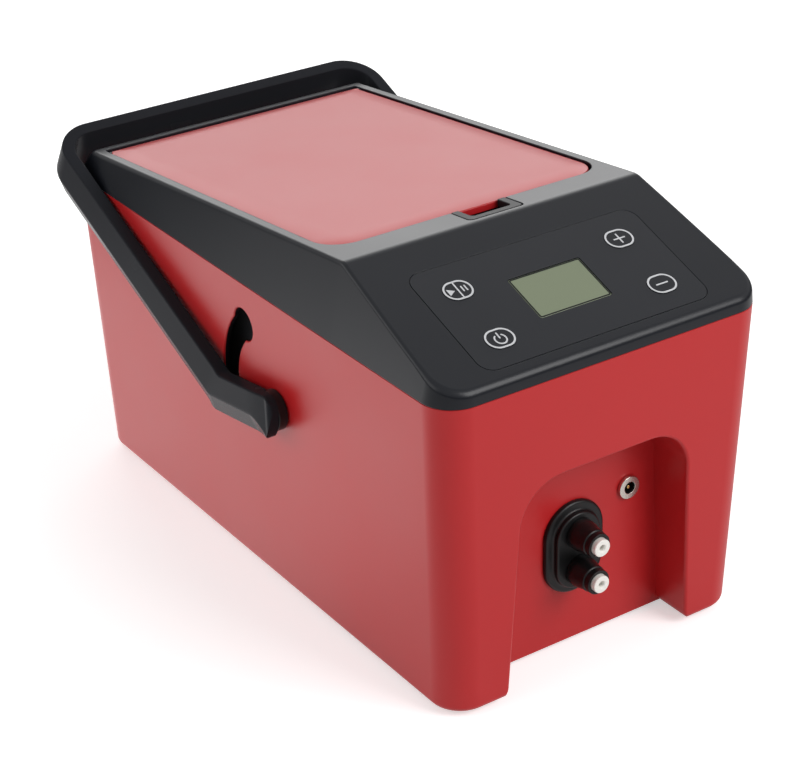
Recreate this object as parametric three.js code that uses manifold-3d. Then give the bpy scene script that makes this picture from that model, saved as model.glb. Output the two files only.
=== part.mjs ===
// Hot and cold therapy machine: a tub-shaped body with a water tank under a hinged lid, a sloping
// control panel, a swing-up carry handle and two hose couplings in an arched front recess.
// Millimetres, +Z up, the front looks toward -Y, +X is the right side seen from the front.

import * as THREE from 'three';
import { mergeVertices } from 'three/addons/utils/BufferGeometryUtils.js';
import Module from 'manifold-3d';

const wasm = await Module();
wasm.setup();

// Counts and plain shares
const halfShare = 0.5;
const quarterTurn = Math.PI * halfShare;
const cornerSteps = 4;
const circleSteps = 16;
const smallCircleSteps = 10;
const fittingSteps = 12;
const hoseSteps = 16;
const solveSteps = 30;
const degree = Math.PI / 180;
const fullTurn = Math.PI / halfShare;
const samePointShare = 1e-6;

// Fits shared by every piece
const gap = 0.3;
const overrun = 6;
const wall = 3;

// Lower shell
const bodyWidth = 200;
const bodyLength = 376.8;
const partingHeight = 177.7;
const sideDraft = 6;
const frontDraft = 5.2;
const rearDraft = 4.7;
const bodyCornerRadius = 18;
const bottomFillet = 4;
const lipDepth = 5;
const lipThickness = 2;

// Arched recess in the front
const archHalfFoot = 58;
const archHalfTop = 54;
const archTaperHeight = 100;
const archHeight = 122.2;
const archCornerRadius = 25;
const archFootFlare = 6;
const archEdgeRadius = 1.6;
const recessDepth = 29.5;

// Upper housing: the lid plane falls toward the rear, the panel plane falls toward the front
const panelRun = 94;
const lidFrontRise = 42.1;
const lidSlope = 5.93 * degree;
const housingTopInset = 7.6;
const housingRearInset = 15.9;
const housingTopCorner = 13;
const housingEdgeRadius = 3;
const creaseSoftness = 2.4;
const panelFootRise = 7.8;

// Lid and the stack under it, measured down from the lid plane
const lidSideBorder = 14.6;
const lidFrontBorder = 20.9;
const lidRearBorder = 21.4;
const lidFrontCorner = 16;
const lidRearCorner = 1;
const lidGap = 0.8;
const lidThickness = 2.2;
const lidSkirtDepth = 4.6;
const lidSkirtThickness = 2;
const lidEdgeRound = 0.8;
const linerThickness = 1.9;
const linerPlugDepth = 14;
const linerPlugWall = 2;
const gasketThickness = 1.7;
const gasketWidth = 4;
const flangeThickness = 2;
const ledgeThickness = 3;
const pocketRim = 3;
const hingeBarrelRadius = 4.3;
const hingePinRadius = 1.7;
const hingePinLength = 9;
const hingePinInFrame = 2.4;
const hingeClearance = 1.4;

// Finger recess in front of the lid
const fingerCentreX = 3.5;
const bezelWidth = 34.4;
const bezelReach = 17.7;
const bezelCorner = 3;
const bezelWall = 5;
const bezelDepth = 12;
const bezelFloor = 1.6;

// Water tank and its sleeve
const tankSideInset = 8.4;
const tankFrontInset = 15.5;
const tankRearInset = 21;
const tankBottom = 12;
const tankWall = 2.4;
const tankCorner = 14;
const tankFlangeReach = 5;
const sleeveThickness = 5;
const sleeveBottom = 5;
const sleeveTopDrop = 17;
const spigotRadius = 4;
const spigotBore = 2.6;
const outletSpigotLength = 15;
const inletSpigotLength = 14;
const outletHeight = 32;
const inletDrop = 25.7;
const strainerRadius = 11;
const strainerDepth = 9;
const strainerWall = 1.4;
const strainerSlot = 1.6;
const strainerSlotCount = 5;

// Pump, heater and hoses
const pumpX = -40;
const pumpRadius = 22;
const pumpToTank = 30;
const pumpDepth = 22;
const pumpWall = 2.5;
const coverThickness = 5;
const coverSpigot = 8;
const impellerRadius = 17;
const impellerClearance = 1;
const impellerDisc = 2;
const impellerBladeHeight = 10;
const impellerBladeThickness = 1.6;
const impellerBladeCount = 6;
const impellerHub = 4;
const shaftRadius = 1.6;
const shaftLength = 12;
const motorRadius = 16;
const motorLength = 36;
const volutePortOffset = 15;
const voluteReach = 30;
const heaterRadius = 13;
const pumpToHeater = 45;
const heaterLength = 38;
const heaterSpigot = 9;
const hoseOuter = 6.4;
const hoseInner = 4.7;
const hoseBend = 11;
const cradleThickness = 3;
const cradleSideInset = 40;
const cradleFrontInset = 12.9;
const cradleRearInset = 2;
const saddleThickness = 4;
const saddleWidth = 22;

// Couplings, connector plate and power inlet on the recess's back wall
const plateWidth = 38.5;
const plateHeight = 51.5;
const plateThickness = 2.6;
const plateCentreZ = 56.4;
const bossWidth = 28;
const bossHeight = 43;
const bossThickness = 3.4;
const upperCouplingZ = 67.7;
const lowerCouplingZ = 45.9;
const couplingRadius = 7;
const couplingCollar = 8.4;
const couplingCollarLength = 4;
const couplingNose = 6.6;
const couplingNoseLength = 8;
const couplingGroove = 0.8;
const couplingGrooveWidth = 1.2;
const couplingInside = 9;
const barbLength = 11;
const barbRadius = 4;
const barbBore = 2.4;
const tipRadius = 4.9;
const tipReach = 25.1;
const tipLength = 14;
const tipBore = 1.6;
const tipTravel = 3;
const tipChamfer = 0.8;
const jackX = 36.2;
const jackZ = 79.7;
const jackRingRadius = 6.5;
const jackRingThickness = 2;
const jackBodyRadius = 4.7;
const jackBodyLength = 18;
const jackBore = 3.5;
const jackBoreDepth = 9;
const jackPinRadius = 1;
const jackPinRecess = 1.5;

// Control panel: s runs down the panel from the crease
const overlaySideBorder = 30;
const overlayTop = 21;
const overlayBottomBorder = 8;
const overlayCorner = 8;
const overlayThickness = 0.6;
const displayWidth = 44;
const displayHeight = 28.7;
const displayCentreX = -0.6;
const displayDrop = 0.3;
const displayCorner = 1.2;
const windowThickness = 2.6;
const moduleBorder = 4;
const keyShift = 4;
const upperKeyInset = 18;
const lowerKeyInset = 17;
const keyWidth = 16;
const keyHeight = 12.5;
const keyProud = 0.3;
const keyFlangeReach = 1.6;
const keyFlangeThickness = 1.2;
const keyTravel = 0.6;
const boardDrop = 9.4;
const boardThickness = 1.6;
const boardTopInset = 3;
const boardBottomInset = 8;
const boardPostInset = 5;
const boardPostRadius = 3;
const switchSize = 6;
const switchPlunger = 1.7;
const switchPlungerHeight = 0.8;

// Carry handle
const handleSideGap = 1.5;
const handleThickness = 9;
const handleDepth = 29.2;
const handleNosePitch = 8.6 * degree;
const handleCrank = 12.45;
const handleSetback = 5;
const handleRise = 24.05;
const armFrontLength = 45.8;
const handleCorner = 25;
const handleRidgeRound = 1;
const handleBevelInset = 4.2;
const handleBevelHeight = 11.2;
const handleNoseRadius = 11.3;
const handleNoseLow = 13.2;
const handleNoseRound = 3.4;
const handleKneeTrim = 3;
const handleKneeSteps = 3;
const pivotSetback = 153.4;
const pivotDrop = 62.2;
const pivotShank = 4;
const pivotHead = 7;
const pinHeadThickness = 2.6;
const pinCover = 3.5;
const washerRadius = 10.4;
const reliefDepth = 2.5;
const reliefMargin = 2;
const guideOrbit = 47.8;
const guideRest = -14 * degree;
const guideEnd = 52.4 * degree;
const guideShank = 6;
const guideStub = 3.5;
const guideFlange = 10;
const slotHalfWidth = 7.2;
const slotHeadRadius = 8.6;

// Fixings under the body
const footSideInset = 32;
const footEndInset = 44.4;
const footRadius = 10;
const footHeight = 3;
const footInset = 1.2;
const footRound = 1;
const screwSideInset = 20;
const screwFrontInset = 20.4;
const screwRearInset = 23.4;
const screwSeatDepth = 10;
const screwHeadRadius = 3.6;
const screwHeadHeight = 2.6;
const screwShank = 1.6;
const screwLength = 26;
const screwDriveSides = 4;
const screwDrive = 1.4;
const screwDriveDepth = 1.4;
const columnRadius = 6;
const columnDrop = 27.7;
const bossRadius = 4.6;

// Values that follow from the ones above
const halfBody = bodyLength * halfShare;
const halfWide = bodyWidth * halfShare;
const lidFrontHeight = partingHeight + lidFrontRise;
const panelFootHeight = partingHeight + panelFootRise;
const creaseY = panelRun - halfBody;
const recessBackY = recessDepth - halfBody;
const tipFaceY = recessBackY - tipReach;
const lidTan = Math.tan(lidSlope);
const panelSlope = Math.atan2(lidFrontHeight - panelFootHeight, panelRun);
const panelTan = Math.tan(panelSlope);
const panelReach = panelRun / Math.cos(panelSlope);
const lidHeight = (y) => lidFrontHeight - (y - creaseY) * lidTan;
const panelHeight = (y) => lidFrontHeight + (y - creaseY) * panelTan;
const ceiling = (y) => Math.min(lidHeight(y), panelHeight(y));
const sideFace = (z) => halfWide - sideDraft * (1 - z / partingHeight);

const lidHalfWidth = halfWide - lidSideBorder;
const lidFrontY = creaseY + lidFrontBorder;
const lidRearY = halfBody - lidRearBorder;
const bezelFrontY = lidFrontY - bezelReach;
const tankHalfWidth = lidHalfWidth - tankSideInset;
const tankFrontY = lidFrontY + tankFrontInset;
const tankRearY = lidRearY - tankRearInset;
const inletHeight = partingHeight - inletDrop;
const pumpRearY = tankFrontY - pumpToTank;
const heaterStartX = pumpX + pumpToHeater;
const cradleHalfWidth = halfWide - cradleSideInset;
const cradleFrontY = recessBackY + cradleFrontInset;
const cradleRearY = pumpRearY - cradleRearInset;

const overlayHalfWidth = halfWide - overlaySideBorder;
const overlayBottom = panelReach - overlayBottomBorder;
const displayCentreS = (overlayTop + overlayBottom) * halfShare + displayDrop;
const keyX = (displayWidth * halfShare + overlayHalfWidth) * halfShare + keyShift;
const moduleWidth = displayWidth + moduleBorder + moduleBorder;
const moduleHeight = displayHeight + moduleBorder + moduleBorder;
const upperKeyS = overlayTop + upperKeyInset;
const lowerKeyS = overlayBottom - lowerKeyInset;
const boardTop = overlayTop + boardTopInset;
const boardBottom = overlayBottom - boardBottomInset;

const pivotY = pivotSetback - halfBody;
const pivotZ = partingHeight - pivotDrop;
const guideRestZ = pivotZ + guideOrbit * Math.sin(guideRest);
const pinHeadFaceX = sideFace(guideRestZ - guideFlange) - wall - gap;
const handleHalfWidth = halfWide + handleSideGap + handleThickness;
const pinBiteX = handleHalfWidth - pinCover;
const washerFaceX = sideFace(pivotZ + washerRadius) + gap;
// The bar's ridge rests behind the body and above the parting line, the arms under the pivot
const barY = halfBody + handleSetback;
const barZ = partingHeight + handleRise;
const pivotToBar = Math.hypot(barY - pivotY, barZ - pivotZ);
const handlePlane = Math.atan2(barZ - pivotZ, barY - pivotY) + Math.asin(handleCrank / pivotToBar);
const handleRidge = pivotZ * Math.cos(handlePlane) - pivotY * Math.sin(handlePlane) - handleCrank;
const pivotAlong = pivotY * Math.cos(handlePlane) + pivotZ * Math.sin(handlePlane);
const handleOverlap = pivotAlong + armFrontLength;
const handleReach = barY * Math.cos(handlePlane) + barZ * Math.sin(handlePlane);
const handleRear = barY + Math.max(0,
  (handleDepth - handleBevelHeight) * Math.sin(handlePlane),
  handleDepth * Math.sin(handlePlane) - handleBevelInset * Math.cos(handlePlane));
const centreShift = (halfBody - handleRear) * halfShare;

const footX = halfWide - footSideInset;
const footY = halfBody - footEndInset;
const screwX = halfWide - screwSideInset;
const screwFrontY = screwFrontInset - halfBody;
const screwRearY = halfBody - screwRearInset;
const columnTop = partingHeight - columnDrop;
const screwSeat = columnTop - screwSeatDepth;

// Placing functions: outline coordinates and a depth become a point of the body
const alongZ = (u, v, w) => [u, v, w];
const alongX = (u, v, w) => [w, u, v];
const alongY = (u, v, w) => [u, w, v];
const onLid = (u, y, w) => {
  const v = (y - creaseY) / Math.cos(lidSlope);
  return [
    u,
    creaseY + v * Math.cos(lidSlope) + w * Math.sin(lidSlope),
    lidFrontHeight - v * Math.sin(lidSlope) + w * Math.cos(lidSlope),
  ];
};
const onPanel = (u, s, w) => [
  u,
  creaseY - s * Math.cos(panelSlope) - w * Math.sin(panelSlope),
  lidFrontHeight - s * Math.sin(panelSlope) + w * Math.cos(panelSlope),
];
const inHandle = (x, d, n) => [
  x,
  d * Math.cos(handlePlane) - n * Math.sin(handlePlane),
  d * Math.sin(handlePlane) + n * Math.cos(handlePlane),
];

// Outlines, all as lists of [u, v] points
function arc(cu, cv, radius, start, end, steps) {
  const points = [];
  for (let i = 0; i <= steps; i += 1) {
    const angle = start + (end - start) * i / steps;
    points.push([cu + radius * Math.cos(angle), cv + radius * Math.sin(angle)]);
  }
  return points;
}

function circle(cu, cv, radius, steps) {
  return arc(cu, cv, radius, 0, fullTurn, steps).slice(0, steps);
}

function roundedBox(u0, u1, v0, v1, lowRadius, highRadius = lowRadius) {
  const turn = quarterTurn;
  const back = -quarterTurn;
  return [
    ...arc(u1 - lowRadius, v0 + lowRadius, lowRadius, back, 0, cornerSteps),
    ...arc(u1 - highRadius, v1 - highRadius, highRadius, 0, turn, cornerSteps),
    ...arc(u0 + highRadius, v1 - highRadius, highRadius, turn, Math.PI, cornerSteps),
    ...arc(u0 + lowRadius, v0 + lowRadius, lowRadius, Math.PI, Math.PI + turn, cornerSteps),
  ];
}

function centredBox(cu, cv, width, height, radius) {
  const u = width * halfShare;
  const v = height * halfShare;
  return roundedBox(cu - u, cu + u, cv - v, cv + v, radius);
}

function obround(cu, cv, width, height) {
  return centredBox(cu, cv, width, height, Math.min(width, height) * halfShare);
}

// Solids
function solidFrom(points, faces) {
  const kept = faces.filter(([a, b, c]) => a !== b && b !== c && c !== a);
  const corner = (i) => new THREE.Vector3(...points[i]);
  let volume = 0;
  kept.forEach(([a, b, c]) => {
    volume += corner(a).dot(corner(b).cross(corner(c)));
  });
  const turned = volume < 0 ? kept.map(([a, b, c]) => [a, c, b]) : kept;
  return new wasm.Manifold(new wasm.Mesh({
    numProp: 3,
    vertProperties: new Float32Array(points.flat()),
    triVerts: new Uint32Array(turned.flat()),
  }));
}

function newell(ring) {
  const normal = new THREE.Vector3();
  ring.forEach((p, i) => {
    const q = ring[(i + 1) % ring.length];
    normal.x += (p[1] - q[1]) * (p[2] + q[2]);
    normal.y += (p[2] - q[2]) * (p[0] + q[0]);
    normal.z += (p[0] - q[0]) * (p[1] + q[1]);
  });
  return normal.normalize();
}

// Triangles that fill a flat ring, facing the way the ring turns
function fill(ring) {
  const normal = newell(ring);
  const across = new THREE.Vector3(...ring[1]).sub(new THREE.Vector3(...ring[0]));
  across.addScaledVector(normal, -across.dot(normal)).normalize();
  const up = new THREE.Vector3().crossVectors(normal, across);
  const flat = ring.map((p) => {
    const point = new THREE.Vector3(...p);
    return new THREE.Vector2(point.dot(across), point.dot(up));
  });
  return THREE.ShapeUtils.triangulateShape(flat, []).map(([a, b, c]) => {
    const area = (flat[b].x - flat[a].x) * (flat[c].y - flat[a].y)
      - (flat[b].y - flat[a].y) * (flat[c].x - flat[a].x);
    return area < 0 ? [a, c, b] : [a, b, c];
  });
}

// Stacked rings of equal length; the last ring may be closed by several flat faces
function loft(rings, endFaces) {
  const count = rings[0].length;
  const faces = [];
  for (let k = 1; k < rings.length; k += 1) {
    const low = (k - 1) * count;
    const high = k * count;
    for (let i = 0; i < count; i += 1) {
      const j = (i + 1) % count;
      faces.push([low + i, low + j, high + j], [low + i, high + j, high + i]);
    }
  }
  fill(rings[0]).forEach(([a, b, c]) => faces.push([a, c, b]));
  const last = rings[rings.length - 1];
  const top = (rings.length - 1) * count;
  const groups = endFaces ?? [last.map((point, i) => i)];
  groups.forEach((group) => {
    fill(group.map((i) => last[i])).forEach(([a, b, c]) => {
      faces.push([top + group[a], top + group[b], top + group[c]]);
    });
  });
  return solidFrom(rings.flat(), faces);
}

function prism(outline, low, high, place) {
  const distinct = outline.filter(([u, v], i) => {
    const [nextU, nextV] = outline[(i + 1) % outline.length];
    return Math.hypot(nextU - u, nextV - v) > samePointShare * bodyLength;
  });
  return loft([low, high].map((w) => distinct.map(([u, v]) => place(u, v, w))));
}

function fromGeometry(geometry, place = alongZ) {
  geometry.deleteAttribute('normal');
  geometry.deleteAttribute('uv');
  const merged = mergeVertices(geometry);
  const at = merged.getAttribute('position');
  const points = [];
  for (let i = 0; i < at.count; i += 1) {
    points.push(place(at.getX(i), at.getZ(i), at.getY(i)));
  }
  const index = Array.from(merged.getIndex().array);
  const faces = [];
  while (index.length > 0) {
    faces.push(index.splice(0, 3));
  }
  return solidFrom(points, faces);
}

// Turned piece: a profile of [radius, w] about the line (cu, cv)
function turned(profile, cu, cv, place, steps = circleSteps) {
  const line = profile.map(([r, w]) => new THREE.Vector2(r, w));
  if (profile[0][0] > 0) {
    line.push(line[0].clone());
  }
  const geometry = new THREE.LatheGeometry(line, steps);
  return fromGeometry(geometry, (u, v, w) => place(cu + u, cv + v, w));
}

function rod(radius, low, high, cu, cv, place, steps = circleSteps) {
  return turned([[0, low], [radius, low], [radius, high], [0, high]], cu, cv, place, steps);
}

function pipe(outer, inner, low, high, cu, cv, place, steps = circleSteps) {
  const profile = [[inner, low], [outer, low], [outer, high], [inner, high]];
  return turned(profile, cu, cv, place, steps);
}

// Hose along straight runs with rounded bends between them
function hose(corners) {
  const at = corners.map((p) => new THREE.Vector3(...p));
  const path = new THREE.CurvePath();
  let from = at[0];
  for (let i = 1; i < at.length; i += 1) {
    const last = i === at.length - 1;
    const back = at[i - 1].clone().sub(at[i]).setLength(hoseBend);
    const enter = last ? at[i] : at[i].clone().add(back);
    path.add(new THREE.LineCurve3(from, enter));
    if (!last) {
      const leave = at[i].clone().add(at[i + 1].clone().sub(at[i]).setLength(hoseBend));
      path.add(new THREE.QuadraticBezierCurve3(enter, at[i], leave));
      from = leave;
    }
  }
  const section = new THREE.Shape().absarc(0, 0, hoseOuter, 0, fullTurn);
  section.holes.push(new THREE.Path().absarc(0, 0, hoseInner, 0, fullTurn));
  const geometry = new THREE.ExtrudeGeometry(section, {
    steps: corners.length > 2 ? hoseSteps : 1,
    extrudePath: path,
    curveSegments: cornerSteps,
  });
  return fromGeometry(geometry, (u, v, w) => [u, w, v]);
}

const join = (...solids) => solids.reduce((sum, solid) => sum.add(solid));
const cut = (solid, ...tools) => tools.reduce((rest, tool) => rest.subtract(tool), solid);
const mirrored = (place) => (u, v, w) => {
  const [x, y, z] = place(u, v, w);
  return [-x, y, z];
};

// Material and mesh
const group = new THREE.Group();
group.name = 'hot_cold_therapy_machine';
group.position.set(0, centreShift, footHeight);

const finishes = {
  redShell: { color: 0xb8262b, roughness: 0.42, metalness: 0 },
  blackShell: { color: 0x1b1c1f, roughness: 0.38, metalness: 0 },
  blackRubber: { color: 0x161616, roughness: 0.85, metalness: 0 },
  film: { color: 0x2a2b30, roughness: 0.5, metalness: 0 },
  glassGrey: { color: 0x8d9a90, roughness: 0.15, metalness: 0 },
  keyGrey: { color: 0x303136, roughness: 0.5, metalness: 0 },
  whitePlastic: { color: 0xf1f0ea, roughness: 0.4, metalness: 0 },
  foam: { color: 0x3a3c40, roughness: 0.95, metalness: 0 },
  steel: { color: 0xb9bbbf, roughness: 0.3, metalness: 1 },
  brass: { color: 0xc2a05a, roughness: 0.35, metalness: 1 },
  clearHose: { color: 0xd8dcdc, roughness: 0.3, metalness: 0 },
  boardGreen: { color: 0x1f5a36, roughness: 0.6, metalness: 0 },
};

function geometryOf(solid) {
  const mesh = solid.getMesh();
  const stride = mesh.numProp;
  const positions = [];
  for (let i = 0; i < mesh.vertProperties.length; i += stride) {
    positions.push(...mesh.vertProperties.slice(i, i + 3));
  }
  const geometry = new THREE.BufferGeometry();
  geometry.setAttribute('position', new THREE.Float32BufferAttribute(positions, 3));
  geometry.setIndex(Array.from(mesh.triVerts));
  geometry.computeVertexNormals();
  return geometry;
}

function addPart(name, solid, finish) {
  const material = new THREE.MeshStandardMaterial(finish);
  const mesh = new THREE.Mesh(geometryOf(solid), material);
  mesh.name = name;
  group.add(mesh);
  return mesh;
}

// Body outline at a height, drawn in by an inset
function bodyRing(z, inset) {
  const rise = 1 - Math.min(z, partingHeight) / partingHeight;
  const half = halfWide - sideDraft * rise - inset;
  const front = -halfBody + frontDraft * rise + inset;
  const rear = halfBody - rearDraft * rise - inset;
  const outline = roundedBox(-half, half, front, rear, bodyCornerRadius - inset);
  return outline.map(([x, y]) => [x, y, z]);
}

// Arched opening: a ring of its outline at the depth that yAt gives for each height
function archRing(inset, yAt) {
  const foot = archHalfFoot - inset;
  const radius = archCornerRadius - inset;
  const flare = archFootFlare;
  const half = (z) => foot + (archHalfTop - archHalfFoot) * z / archTaperHeight;
  const level = archHeight - archCornerRadius;
  const right = [
    [foot + flare, -overrun],
    ...arc(foot + flare, flare, flare, -quarterTurn, -Math.PI, cornerSteps),
    ...arc(half(archHeight) - radius, level, radius, 0, quarterTurn, cornerSteps),
  ];
  const left = right.map(([x, z]) => [-x, z]).reverse();
  return [...right, ...left].map(([x, z]) => [x, yAt(z), z]);
}

// The arch as a cutting solid, its front edge rounded
function archCut(inset, backShift) {
  const ahead = (depth) => (z) => depth - halfBody + frontDraft * (1 - z / partingHeight);
  const rings = [archRing(inset - archEdgeRadius, ahead(-overrun))];
  for (let i = 0; i <= cornerSteps; i += 1) {
    const angle = quarterTurn * i / cornerSteps;
    const open = archEdgeRadius * (1 - Math.sin(angle));
    rings.push(archRing(inset - open, ahead(archEdgeRadius * (1 - Math.cos(angle)))));
  }
  rings.push(archRing(inset, () => recessBackY + backShift));
  return loft(rings);
}

const atPivot = (radius, angle) => [
  pivotY + radius * Math.cos(angle),
  pivotZ + radius * Math.sin(angle),
];

function guideSlot(place) {
  const low = halfWide - wall - overrun - sideDraft;
  const high = halfWide + overrun;
  const [headY, headZ] = atPivot(guideOrbit, guideEnd);
  const [restY, restZ] = atPivot(guideOrbit, guideRest);
  const band = [
    ...arc(pivotY, pivotZ, guideOrbit + slotHalfWidth, guideRest, guideEnd, circleSteps),
    ...arc(pivotY, pivotZ, guideOrbit - slotHalfWidth, guideEnd, guideRest, circleSteps),
  ];
  return join(
    prism(band, low, high, place),
    rod(slotHalfWidth, low, high, restY, restZ, place),
    rod(slotHeadRadius, low, high, headY, headZ, place),
  );
}

function lowerShell() {
  const outer = [];
  for (let i = 0; i <= cornerSteps; i += 1) {
    const angle = quarterTurn * i / cornerSteps;
    const inset = bottomFillet * (1 - Math.sin(angle));
    outer.push(bodyRing(bottomFillet * (1 - Math.cos(angle)), inset));
  }
  outer.push(bodyRing(partingHeight, 0));
  const inner = loft([
    bodyRing(wall, wall),
    bodyRing(partingHeight, wall),
    bodyRing(partingHeight + overrun, wall),
  ]);
  let shell = cut(loft(outer), archCut(0, 0));
  const room = cut(inner, archCut(-wall, wall));
  shell = cut(shell, room);
  const columns = [];
  const wells = [];
  [-screwX, screwX].forEach((x) => {
    [screwFrontY, screwRearY].forEach((y) => {
      const inside = wall * halfShare;
      columns.push(rod(columnRadius, inside, columnTop, x, y, alongZ, smallCircleSteps));
      wells.push(rod(screwHeadRadius + gap, -overrun, screwSeat, x, y, alongZ, smallCircleSteps));
      wells.push(rod(screwShank + gap, 0, columnTop + overrun, x, y, alongZ, smallCircleSteps));
    });
  });
  shell = cut(join(shell, ...columns), ...wells);
  const throughWall = [halfWide - wall - overrun - sideDraft, halfWide + overrun];
  [alongX, mirrored(alongX)].forEach((place) => {
    shell = cut(shell, guideSlot(place));
    shell = cut(shell, rod(pivotShank + gap, ...throughWall, pivotY, pivotZ, place));
  });
  [-footX, footX].forEach((x) => {
    [-footY, footY].forEach((y) => {
      shell = cut(shell, rod(footRadius + gap, -overrun, footInset, x, y, alongZ));
    });
  });
  const throughBack = [recessBackY - overrun, recessBackY + wall + overrun];
  [upperCouplingZ, lowerCouplingZ].forEach((z) => {
    shell = cut(shell, rod(couplingRadius + gap, ...throughBack, 0, z, alongY));
  });
  return cut(shell, rod(jackBodyRadius + gap, ...throughBack, jackX, jackZ, alongY));
}

// Where the housing's side edges bend, measured from the crease
const creaseBends = [-creaseSoftness, 0, creaseSoftness];

// Upper housing outline: parting outline below, lid-plane outline above, same point count
function housingPlan(inset, narrow, rearInset, radius) {
  const half = halfWide - narrow - inset;
  const front = -halfBody + inset;
  const rear = halfBody - rearInset - inset;
  const r = radius - inset;
  const turn = quarterTurn;
  const bends = creaseBends.map((d) => creaseY + d);
  return [
    ...arc(half - r, front + r, r, -turn, 0, cornerSteps),
    ...bends.map((y) => [half, y]),
    ...arc(half - r, rear - r, r, 0, turn, cornerSteps),
    ...arc(r - half, rear - r, r, turn, Math.PI, cornerSteps),
    ...bends.map((y) => [-half, y]).reverse(),
    ...arc(r - half, front + r, r, Math.PI, Math.PI + turn, cornerSteps),
  ];
}

// Roof of the housing with the crease softened across its width
function roof(y) {
  const away = Math.abs(y - creaseY);
  if (away >= creaseSoftness) {
    return ceiling(y);
  }
  const near = creaseSoftness - away;
  return ceiling(y) - (lidTan + panelTan) * near * near / creaseSoftness * halfShare * halfShare;
}

// Ring on the ruled side walls at a drop below the roof
function housingRing(inset, drop) {
  const low = housingPlan(inset, 0, 0, bodyCornerRadius);
  const high = housingPlan(inset, housingTopInset, housingRearInset, housingTopCorner);
  return low.map(([lowX, lowY], i) => {
    const [highX, highY] = high[i];
    const topZ = lidHeight(highY);
    let from = 0;
    let to = 1;
    const at = (t) => [
      lowX + (highX - lowX) * t,
      lowY + (highY - lowY) * t,
      partingHeight + (topZ - partingHeight) * t,
    ];
    for (let k = 0; k < solveSteps; k += 1) {
      const middle = (from + to) * halfShare;
      const [, y, z] = at(middle);
      if (z < roof(y) - drop) {
        from = middle;
      } else {
        to = middle;
      }
    }
    return at((from + to) * halfShare);
  });
}

function housingSolid(inset, drop, edge, below) {
  const foot = housingPlan(inset, 0, 0, bodyCornerRadius).map(([x, y]) => [x, y]);
  const rings = [foot.map(([x, y]) => [x, y, partingHeight - below])];
  if (below > 0) {
    rings.push(foot.map(([x, y]) => [x, y, partingHeight]));
  }
  for (let i = 0; i <= cornerSteps; i += 1) {
    const angle = quarterTurn * i / cornerSteps;
    rings.push(housingRing(
      inset + edge * (1 - Math.cos(angle)),
      drop + edge * (1 - Math.sin(angle)),
    ));
  }
  const side = cornerSteps + 1;
  const count = rings[0].length;
  const right = creaseBends.map((d, i) => side + i);
  const left = right.map((i) => count - 1 - i);
  const front = [...Array.from({ length: side }, (unused, i) => i), right[0], left[0],
    ...Array.from({ length: side }, (unused, i) => count - side + i)];
  const rear = [right[2], ...Array.from({ length: side + side }, (unused, i) => right[2] + 1 + i),
    left[2]];
  const strips = [0, 1].map((i) => [right[i], right[i + 1], left[i + 1], left[i]]);
  return loft(rings, [front, ...strips, rear]);
}

// Depths of the stack under the lid
const skirtBottom = -lidSkirtDepth;
const linerTop = -lidThickness - gap;
const linerBottom = linerTop - linerThickness;
const gasketTop = linerBottom - gap;
const gasketBottom = gasketTop - gasketThickness;
const flangeTop = gasketBottom - gap;
const flangeBottom = flangeTop - flangeThickness;
const ledgeTop = flangeBottom - gap;
const ledgeBottom = ledgeTop - ledgeThickness;
const pinLineDepth = -hingeBarrelRadius;
const hingeLineY = lidRearY - hingeBarrelRadius;
const tankFlangeHalf = tankHalfWidth + tankFlangeReach;
const tankFlangeFront = tankFrontY - tankFlangeReach;
const tankFlangeRear = tankRearY + tankFlangeReach;

function pocketOutline(spread) {
  const half = lidHalfWidth + spread;
  const front = lidFrontY - spread;
  const rear = lidRearY + spread;
  return roundedBox(-half, half, front, rear, lidFrontCorner + spread, lidRearCorner + spread);
}

function bezelOutline(spread, rearY) {
  const half = bezelWidth * halfShare + spread;
  const front = bezelFrontY - spread;
  return [
    ...arc(fingerCentreX + half - bezelCorner, front + bezelCorner, bezelCorner,
      -quarterTurn, 0, cornerSteps),
    [fingerCentreX + half, rearY],
    [fingerCentreX - half, rearY],
    ...arc(fingerCentreX - half + bezelCorner, front + bezelCorner, bezelCorner,
      Math.PI, Math.PI + quarterTurn, cornerSteps),
  ];
}

const keys = [
  ['power', -keyX, lowerKeyS],
  ['play_pause', -keyX, upperKeyS],
  ['plus', keyX, upperKeyS],
  ['minus', keyX, lowerKeyS],
];

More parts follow.
